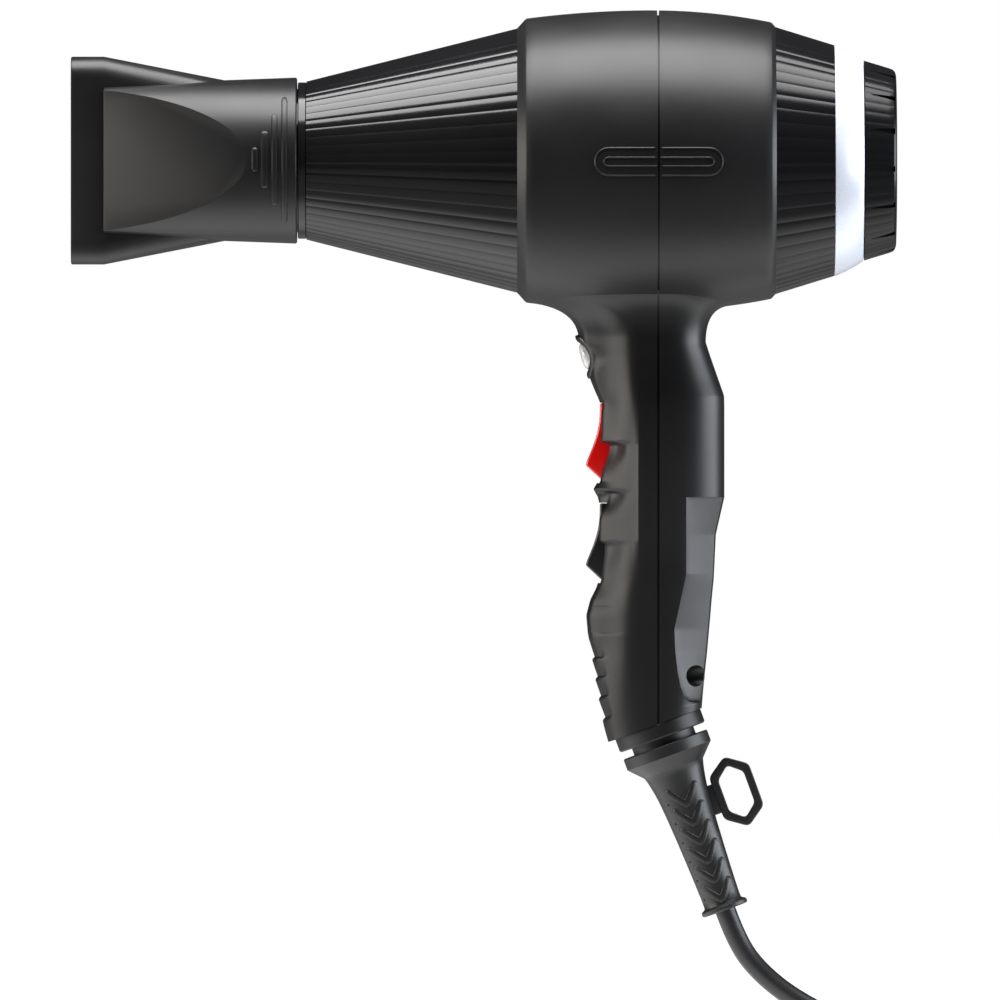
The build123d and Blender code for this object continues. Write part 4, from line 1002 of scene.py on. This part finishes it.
class DRYER_OT_cap(bpy.types.Operator):
    """Fluted inlet cap with pointed vents and its grille"""

    bl_idname = "dryer.cap"
    bl_label = "Inlet cap"

    def execute(self, context):
        centre = context.scene.dryer_sizes.barrel_height
        inner = [
            (76.4, 30.45), (77.5, 30.0), (78.2, 29.2), (78.5, 28.2), (78.5, 25.0), (76.3, 25.0), (76.3, 28.0),
            (60.7, 28.0), (60.7, 29.7), (68.0, 29.7),
        ]
        cap = fluted_cone("inlet_cap_shell", (68.0, 33.0), (76.4, 30.45), inner)
        vents = []
        for index in range(VENTS):
            points = [(69.6, 0.0, 32.1), (77.9, 1.0, 28.7), (77.9, -1.0, 28.7), (69.6, 0.0, 32.1)]
            wedge = drawn("vent", [(x, y, AXIS + radius) for x, y, radius in points])
            bpy.ops.mesh.edge_face_add()
            bpy.ops.mesh.extrude_region_move(TRANSFORM_OT_translate={"value": (0, 0, 12 * MM)})
            leave()
            seat(wedge)
            clean(wedge)
            spin = Matrix.Translation((0, 0, centre)) @ Matrix.Rotation(TAU * index / VENTS, 4, "X")
            wedge.data.transform(spin @ Matrix.Translation((0, 0, -centre)))
            vents.append(wedge)
        cut(cap, merge_into(vents[0], vents[1:]))
        grille = merged_copy("inlet_grille", "inlet_cap")
        edit(grille, "DESELECT")
        leave()
        for point in grille.data.vertices:
            reach = math.hypot(point.co.y, point.co.z - centre)
            point.select = reach > 26.5 * MM or point.co.x < 76.0 * MM
        bpy.ops.object.mode_set(mode="EDIT")
        bpy.ops.mesh.delete(type="VERT")
        bpy.ops.mesh.select_all(action="SELECT")
        bpy.ops.mesh.fill_holes(sides=400)
        leave()
        merge_into(cap, [grille])
        smooth(cap, 12.0)
        dress(cap, "cap_gloss_painted_shade", "inlet_filter", "barrel_gloss", "inlet_cap")
        return {"FINISHED"}


# --- Nozzle ------------------------------------------------------------------------
def tapered_slot(name, rows):
    """Round-ended duct through rows of (station, half height, half width)."""
    corners = stadium(1.0, 0.5, 20)

    def place(turn, run):
        station, half_height, half_width = rows[run]
        x, z = corners[turn % len(corners)]
        flat = math.copysign(half_height - half_width, x) if half_height > half_width else 0.0
        up = flat + (x - math.copysign(0.5, x)) * 2 * half_width
        return station, z * 2 * half_width, AXIS + up

    return rolled(name, len(corners), len(rows) - 1, place)


def close_ends(piece):
    """Fill a sleeve's open ends and turn its faces outward."""
    edit(piece, "DESELECT", "EDGE")
    bpy.ops.mesh.select_non_manifold(
        extend=False, use_wire=False, use_multi_face=False, use_non_contiguous=False, use_verts=False
    )
    bpy.ops.mesh.fill_holes(sides=0)
    bpy.ops.mesh.select_all(action="SELECT")
    bpy.ops.mesh.normals_make_consistent(inside=False)
    leave()


class DRYER_OT_nozzle(bpy.types.Operator):
    """Concentrator nozzle: round body with slanted faces, flat duct, slot and grip bars"""

    bl_idname = "dryer.nozzle"
    bl_label = "Nozzle"

    def execute(self, context):
        front_radius = 27.4 - NOZZLE_TAPER * (NOZZLE_REAR - LIP_STATION)
        profile = [(NOZZLE_REAR, 0.0), (NOZZLE_REAR, 27.0), (NOZZLE_REAR - 0.4, 27.4)]
        profile += [(LIP_STATION, front_radius), (LIP_STATION, 0.0)]
        body = turned("nozzle_shell", profile, 160)
        for side in (1, -1):
            edit(body)
            bpy.ops.mesh.bisect(
                plane_co=(LIP_STATION * MM, side * 9.5 * MM, AXIS * MM),
                plane_no=Vector((-17.9, side * 49.0, 0.0)).normalized(),
                use_fill=True,
                clear_outer=True,
            )
            leave()
        clean(body)
        soften(body, 1.3, 4, 20.0)
        fin = tapered_slot(
            "nozzle_fin", [(-142.9, 26.5, 7.2), (LIP_STATION, 34.3, 7.2), (MOUTH_STATION, 34.3, 7.2)]
        )
        close_ends(fin)
        soften(fin, 0.5, 2, 50.0)
        cut(body, fin, "UNION")
        bore = turned("nozzle_bore", [(-118.0, 0.0), (-118.0, 24.0), (-142.6, 24.0), (-142.6, 0.0)], 120)
        cut(body, bore)
        throat = tapered_slot(
            "nozzle_throat",
            [(-141.0, 22.6, 22.0), (-163.0, 22.3, 12.0), (LIP_STATION, 31.3, 4.5), (-195.0, 32.5, 4.6)],
        )
        close_ends(throat)
        cut(body, throat)
        bars = []
        for station, half_width, half_height in GRIP_BARS:
            radius = 27.4 - NOZZLE_TAPER * (NOZZLE_REAR - station)
            limit = math.asin(half_height / radius)
            for cheek in (-1, 1):
                path = []
                for step in range(41):
                    angle = limit * (2 * step / 40 - 1)
                    path.append((station, cheek * radius * math.cos(angle), AXIS + radius * math.sin(angle)))
                path = spaced(path, 1.0, 0.12, half_width)
                bars.append(bead("grip_bar", path, from_axis, half_width, 0.7))
        merge_into(body, bars)
        smooth(body, 28.0)
        dress(body, "nozzle", "nozzle", "nozzle_black", "nozzle")
        return {"FINISHED"}


# --- Buttons -----------------------------------------------------------------------
def rocker(name, height, finish, body, slot):
    """Rocker with a hollowed face, soft edges and its two pivot pins."""
    outline = []
    for step in range(15):
        share = step / 14
        hollow = 1.55 * math.sin(math.pi * min(1.0, share * 1.04))
        outline.append((-19.2 - 4.7 * share + hollow * (1 - 0.25 * share), 12.95 - 20.45 * share))
    outline += [(-18.6, -12.4), (-15.5, -11.2), (-9.6, -4.5), (-9.6, 4.5), (-15.5, 12.85)]
    piece = slab(name, [(x, height + z) for x, z in outline], -5.3, 5.3)
    soften(piece, 0.7, 4, 40.0)
    pin = turned(
        "pivot_pin",
        [(-6.6, 0.0), (-6.6, 1.2), (6.6, 1.2), (6.6, 0.0)],
        24,
        Matrix.Translation((-12 * MM, 0, height * MM)) @ Matrix.Rotation(math.radians(90), 4, "Z"),
    )
    merge_into(piece, [pin])
    smooth(piece, 32.0)
    dress(piece, finish, body, slot, body)


def saddle_ring(name):
    """Bezel whose rim follows the round nose of the grip on both sides of the button."""
    place = toward(BUTTON_FACE, BUTTON_OUT)
    count = 96
    profile = [
        (5.3, -6.5), (5.0, -2.6), (5.25, 0.05), (5.45, 0.3), (6.3, 0.55), (7.1, 0.5),
        (7.45, 0.25), (7.5, -0.3), (7.5, -9.0), (6.6, -9.0), (6.4, -6.5), (5.3, -6.5),
    ]

    def spot(turn, run):
        radius, rise = profile[run]
        angle = TAU * turn / count
        across, up = radius * math.sin(angle), radius * math.cos(angle)
        sink = across * across / 12.5 if rise > -5 else 0.0
        point = place @ Vector(((rise - sink) * MM, across * MM, up * MM))
        return point / MM

    return rolled(name, count, len(profile) - 1, spot)


class DRYER_OT_buttons(bpy.types.Operator):
    """Two rockers, the cool-shot button and its bezel"""

    bl_idname = "dryer.buttons"
    bl_label = "Buttons"

    def execute(self, context):
        rocker("speed_rocker_cap", PIVOTS["speed"], "red", "speed_rocker", "rocker_red")
        rocker("heat_rocker_cap", PIVOTS["heat"], "rocker", "heat_rocker", "rocker_black")
        profile = [(0.6, 0.0), (0.55, 1.6), (0.42, 2.8), (0.15, 3.7), (-0.35, 4.3), (-0.9, 4.55)]
        profile += [(-6.0, 4.55), (-6.0, 5.2), (-7.2, 5.2), (-7.2, 2.4), (-7.6, 2.4), (-7.6, 0.0)]
        button = turned("cool_shot_cap", profile, 64, toward(BUTTON_FACE, BUTTON_OUT))
        smooth(button, 40.0)
        dress(button, "button", "cool_button", "button_clear", "cool_button")
        bezel = saddle_ring("cool_shot_bezel")
        smooth(bezel, 30.0)
        dress(bezel, "bezel", "dryer", "rocker_black", "button_bezel")
        return {"FINISHED"}


# --- Cord end of the grip ----------------------------------------------------------
def boot_point(side, along, depth=0.0):
    """Point in millimetres beside the tilted axis: to the rear, along it and across."""
    point = GRIP_END + END_SIDE * side + END_DIRECTION * along
    point.y = depth
    return point


def boot_radius(along):
    """Radius of the boot at a distance along its axis."""
    for (here, first), (there, second) in zip(BOOT_OUTLINE, BOOT_OUTLINE[1:]):
        if here <= along < there:
            return first + (second - first) * (along - here) / (there - here)
    return 6.3


def boot_surface(side, along, cheek):
    """Point on the boot a distance round its surface from the middle of one cheek."""
    reach = boot_radius(along)
    swing = side / reach
    return boot_point(reach * math.sin(swing), along, cheek * reach * math.cos(swing))


def boot_outward(point):
    """Direction away from the boot's axis at a point on it."""
    from_start = point - GRIP_END
    return from_start - END_DIRECTION * from_start.dot(END_DIRECTION)


class DRYER_OT_boot(bpy.types.Operator):
    """End band, strain-relief boot with chevrons and its hanging loop"""

    bl_idname = "dryer.boot"
    bl_label = "Boot and loop"

    def execute(self, context):
        place = toward(GRIP_END, END_DIRECTION)
        profile = [(0.0, 11.2), (0.0, 14.7), (0.2, 14.9), (4.2, 14.9), (4.7, 14.4), (4.7, 11.2)]
        band = turned("grip_end_band", profile, 128, place)
        smooth(band, 30.0)
        dress(band, "housing", "dryer", "housing_black", "handle_band")

        boot = turned("cord_boot_sleeve", BOOT_OUTLINE, 128, place)
        raised = []
        for index in range(CHEVRONS):
            apex = CHEVRON_START + index * CHEVRON_PITCH
            for cheek in (-1, 1):
                corners = []
                for step in range(-12, 13):
                    side = 5.6 * step / 12
                    along = apex - 6.6 * abs(side) / 5.6
                    corners.append(boot_surface(side, along, cheek))
                path = spaced(corners, 0.6, 0.12, 1.2)
                raised.append(bead("chevron", path, boot_outward, 1.25, 0.6))
                spot = [boot_surface(-6.6, apex - 2.2 + 0.1 * step, cheek) for step in range(9)]
                raised.append(bead("boot_dot", spot, boot_outward, 0.4, 0.4, around=8))
        rows = [(0.0, 12.2), (7.0, 7.3), (7.0, -7.3), (0.0, -12.2), (-7.0, -7.3), (-7.0, 7.3)]
        centre_side, centre_along = 16.8, BOOT_START + 22.6

        def ringed(scale_side, scale_along, corner):
            points = []
            hexagon = [Vector((x * scale_side, 0, z * scale_along)) for x, z in rows]
            for before, here, after in zip(hexagon[-1:] + hexagon[:-1], hexagon, hexagon[1:] + hexagon[:1]):
                first = here + (before - here).normalized() * corner
                last = here + (after - here).normalized() * corner
                for step in range(5):
                    t = step / 4
                    point = first * (1 - t) ** 2 + here * 2 * t * (1 - t) + last * t * t
                    spot = boot_point(centre_side + point.x, centre_along + point.z)
                    points.append((spot.x, spot.z))
            return points

        loop = slab("hang_loop", ringed(1.0, 1.0, 1.6), -2.2, 2.2)
        cut(loop, slab("loop_hole", ringed(4.4 / 7.0, 9.1 / 12.2, 1.2), -4.0, 4.0))
        soften(loop, 0.7, 3, 40.0)
        corners = [(6.0, -5.0), (11.3, -5.0), (11.3, 5.0), (6.0, 5.0)]
        spots = [boot_point(side, centre_along + along) for side, along in corners]
        neck = slab("loop_neck", [(spot.x, spot.z) for spot in spots], -2.0, 2.0)
        soften(neck, 0.5, 3, 40.0)
        merge_into(boot, [loop, neck, *raised])
        smooth(boot, 32.0)
        dress(boot, "rubber", "dryer", "boot_rubber", "cord_boot")
        return {"FINISHED"}


# --- Stage -------------------------------------------------------------------------
def softbox(name, place, target, size, power, colour):
    """Rectangular lamp that faces a point."""
    lamp = bpy.data.lights.new(name, "AREA")
    lamp.shape = "RECTANGLE"
    lamp.size, lamp.size_y = size
    lamp.energy = power
    lamp.color = colour
    holder = bpy.data.objects.new(name, lamp)
    holder.location = place
    holder.rotation_euler = (Vector(target) - Vector(place)).to_track_quat("-Z", "Y").to_euler()
    bpy.context.scene.collection.objects.link(holder)


def paint_floor(floor):
    """Pale floor that fades to white far behind the dryer. To all but camera rays it is a darker 0.2 and
    glows in a patch right under the dryer, which is painted light from below that puts a painted reflection
    on the dryer's underside.
    """
    paint = bpy.data.materials.new("floor_white")
    tree = blank_tree(paint)
    place = add_node(tree, "TexCoord")
    apart = add_node(tree, "SeparateXYZ")
    tree.links.new(place.outputs["Object"], apart.inputs[0])
    near = add_node(tree, "Math")
    near.operation = "ABSOLUTE"
    tree.links.new(apart.outputs["Y"], near.inputs[0])

    def glowing(distance, low, high, start, end, pale):
        span = add_node(tree, "MapRange", From_Min=low, From_Max=high, To_Min=start, To_Max=end)
        span.interpolation_type = "SMOOTHSTEP"
        glow = add_node(tree, "Emission")
        diffuse = add_node(tree, "BsdfDiffuse", Color=(pale, pale, pale, 1))
        both = add_node(tree, "AddShader")
        tree.links.new(distance, span.inputs["Value"])
        tree.links.new(span.outputs["Result"], glow.inputs["Strength"])
        tree.links.new(diffuse.outputs[0], both.inputs[0])
        tree.links.new(glow.outputs[0], both.inputs[1])
        return both.outputs[0]

    path = add_node(tree, "LightPath")
    choose = add_node(tree, "MixShader")
    output = add_node(tree, "OutputMaterial")
    tree.links.new(path.outputs["Is Camera Ray"], choose.inputs[0])
    # Painted light from below: to reflections and bounce rays the floor glows up to 2.2 within 0.27 m of the
    # dryer's line and is otherwise a darker 0.2.
    tree.links.new(glowing(near.outputs[0], 0.03, 0.27, 2.2, 0.0, 0.2), choose.inputs[1])
    tree.links.new(glowing(apart.outputs["Y"], 0.4, 1.9, 0.556, 1.0, 0.82), choose.inputs[2])
    tree.links.new(choose.outputs[0], output.inputs["Surface"])
    floor.data.materials.append(paint)


def light_world(scene):
    """White surroundings to the eye and through clear plastic, and a dim fill for all else."""
    world = bpy.data.worlds.new("surroundings")
    scene.world = world
    tree = blank_tree(world)
    seen = add_node(tree, "Background", Color=(1, 1, 1, 1), Strength=1.0)
    fill = add_node(tree, "Background", Color=(0.95, 0.97, 1.0, 1), Strength=0.03)
    path = add_node(tree, "LightPath")
    either = add_node(tree, "Math")
    either.operation = "MAXIMUM"
    choose = add_node(tree, "MixShader")
    output = add_node(tree, "OutputWorld")
    tree.links.new(path.outputs["Is Camera Ray"], either.inputs[0])
    tree.links.new(path.outputs["Is Transmission Ray"], either.inputs[1])
    tree.links.new(either.outputs[0], choose.inputs[0])
    tree.links.new(fill.outputs[0], choose.inputs[1])
    tree.links.new(seen.outputs[0], choose.inputs[2])
    tree.links.new(choose.outputs[0], output.inputs["Surface"])


class DRYER_OT_stage(bpy.types.Operator):
    """Pale floor, soft lamps, white surroundings and the camera"""

    bl_idname = "dryer.stage"
    bl_label = "Stage"

    def execute(self, context):
        scene = context.scene
        settle()
        camera = bpy.data.cameras.new("camera")
        camera.lens = 900.0
        camera.sensor_width = 36.0
        camera.clip_end = 50.0
        holder = bpy.data.objects.new("camera", camera)
        holder.location = (-0.05214, -8.25, 0.0)
        holder.rotation_euler = (math.radians(90.0), 0.0, 0.0)
        scene.collection.objects.link(holder)
        scene.camera = holder
        scene.view_settings.view_transform = "Standard"

        bpy.ops.mesh.primitive_plane_add(size=14.0, location=(0, 0, frame_low.z - 0.0002))
        floor = context.object
        floor.name = "floor"
        bpy.ops.object.transform_apply(location=True)
        paint_floor(floor)
        light_world(scene)
        softbox("top_lamp", (-0.1, -0.16, 1.1), (-0.1, 0, 0.05), (1.4, 0.78), 46.0, (1.0, 1.0, 1.0))
        softbox("left_lamp", (-1.6, -0.4, -0.05), (0, 0, -0.05), (1.5, 1.3), 40.0, (1.0, 0.95, 0.88))
        softbox("right_lamp", (1.6, -0.2, -0.05), (0, 0, -0.05), (1.5, 1.3), 64.0, (0.88, 0.93, 1.0))
        return {"FINISHED"}


class DRYER_OT_inner(bpy.types.Operator):
    """Finishes of the inner pieces that keep their CAD shape"""

    bl_idname = "dryer.inner"
    bl_label = "Inner finishes"

    def execute(self, context):
        given = {
            "steel": ["nozzle_clip", "filter_mesh", "outlet_grille", "thermostat", "motor_shaft"],
            "black_steel": ["handle_screws"],
            "mica": ["mica_tube", "heater_boards"],
            "wire": ["heater_coils"],
            "inner": [
                "thermal_fuse", "ion_emitter", "fan_duct", "front_bracket", "rear_bracket",
                "speed_switch", "heat_switch", "cool_switch", "ion_module", "cord_clamp",
            ],
            "fan": ["fan", "terminal_block"],
            "lamination": ["stator", "armature"],
            "copper": ["field_windings", "commutator", "front_bearing", "rear_bearing"],
            "carbon": ["brushes"],
            "lead": ["inner_leads"],
            "cord": ["inner_cord"],
        }
        for finish, names in given.items():
            for name in names:
                nodes[name].data.materials.clear()
                nodes[name].data.materials.append(finishes[finish])
        return {"FINISHED"}


class DRYER_PT_pieces(bpy.types.Panel):
    """Sidebar list of the dryer's pieces"""

    bl_idname = "DRYER_PT_pieces"
    bl_label = "Hair dryer"
    bl_space_type = "VIEW_3D"
    bl_region_type = "UI"
    bl_category = "Dryer"

    def draw(self, context):
        column = self.layout.column()
        for group in (context.scene.dryer_sizes, context.scene.dryer_finish):
            for name in group.bl_rna.properties.keys():
                if name not in ("rna_type", "name"):
                    column.prop(group, name)
        for step in STEPS:
            column.operator(step.bl_idname)


STEPS = [
    DRYER_OT_stage,
    DRYER_OT_cord,
    DRYER_OT_housing,
    DRYER_OT_cones,
    DRYER_OT_ring,
    DRYER_OT_cap,
    DRYER_OT_nozzle,
    DRYER_OT_buttons,
    DRYER_OT_boot,
    DRYER_OT_inner,
]
CLASSES = [DryerSizes, DryerFinish, *STEPS, DRYER_PT_pieces]


def register():
    for item in CLASSES:
        bpy.utils.register_class(item)
    bpy.types.Scene.dryer_sizes = bpy.props.PointerProperty(type=DryerSizes)
    bpy.types.Scene.dryer_finish = bpy.props.PointerProperty(type=DryerFinish)


def unregister():
    del bpy.types.Scene.dryer_finish
    del bpy.types.Scene.dryer_sizes
    for item in reversed(CLASSES):
        bpy.utils.unregister_class(item)


def main():
    """Build every piece in order."""
    register()
    make_finishes()
    for step in STEPS:
        group, name = step.bl_idname.split(".")
        getattr(getattr(bpy.ops, group), name)()
    settle()


if __name__ == "__main__":
    main()
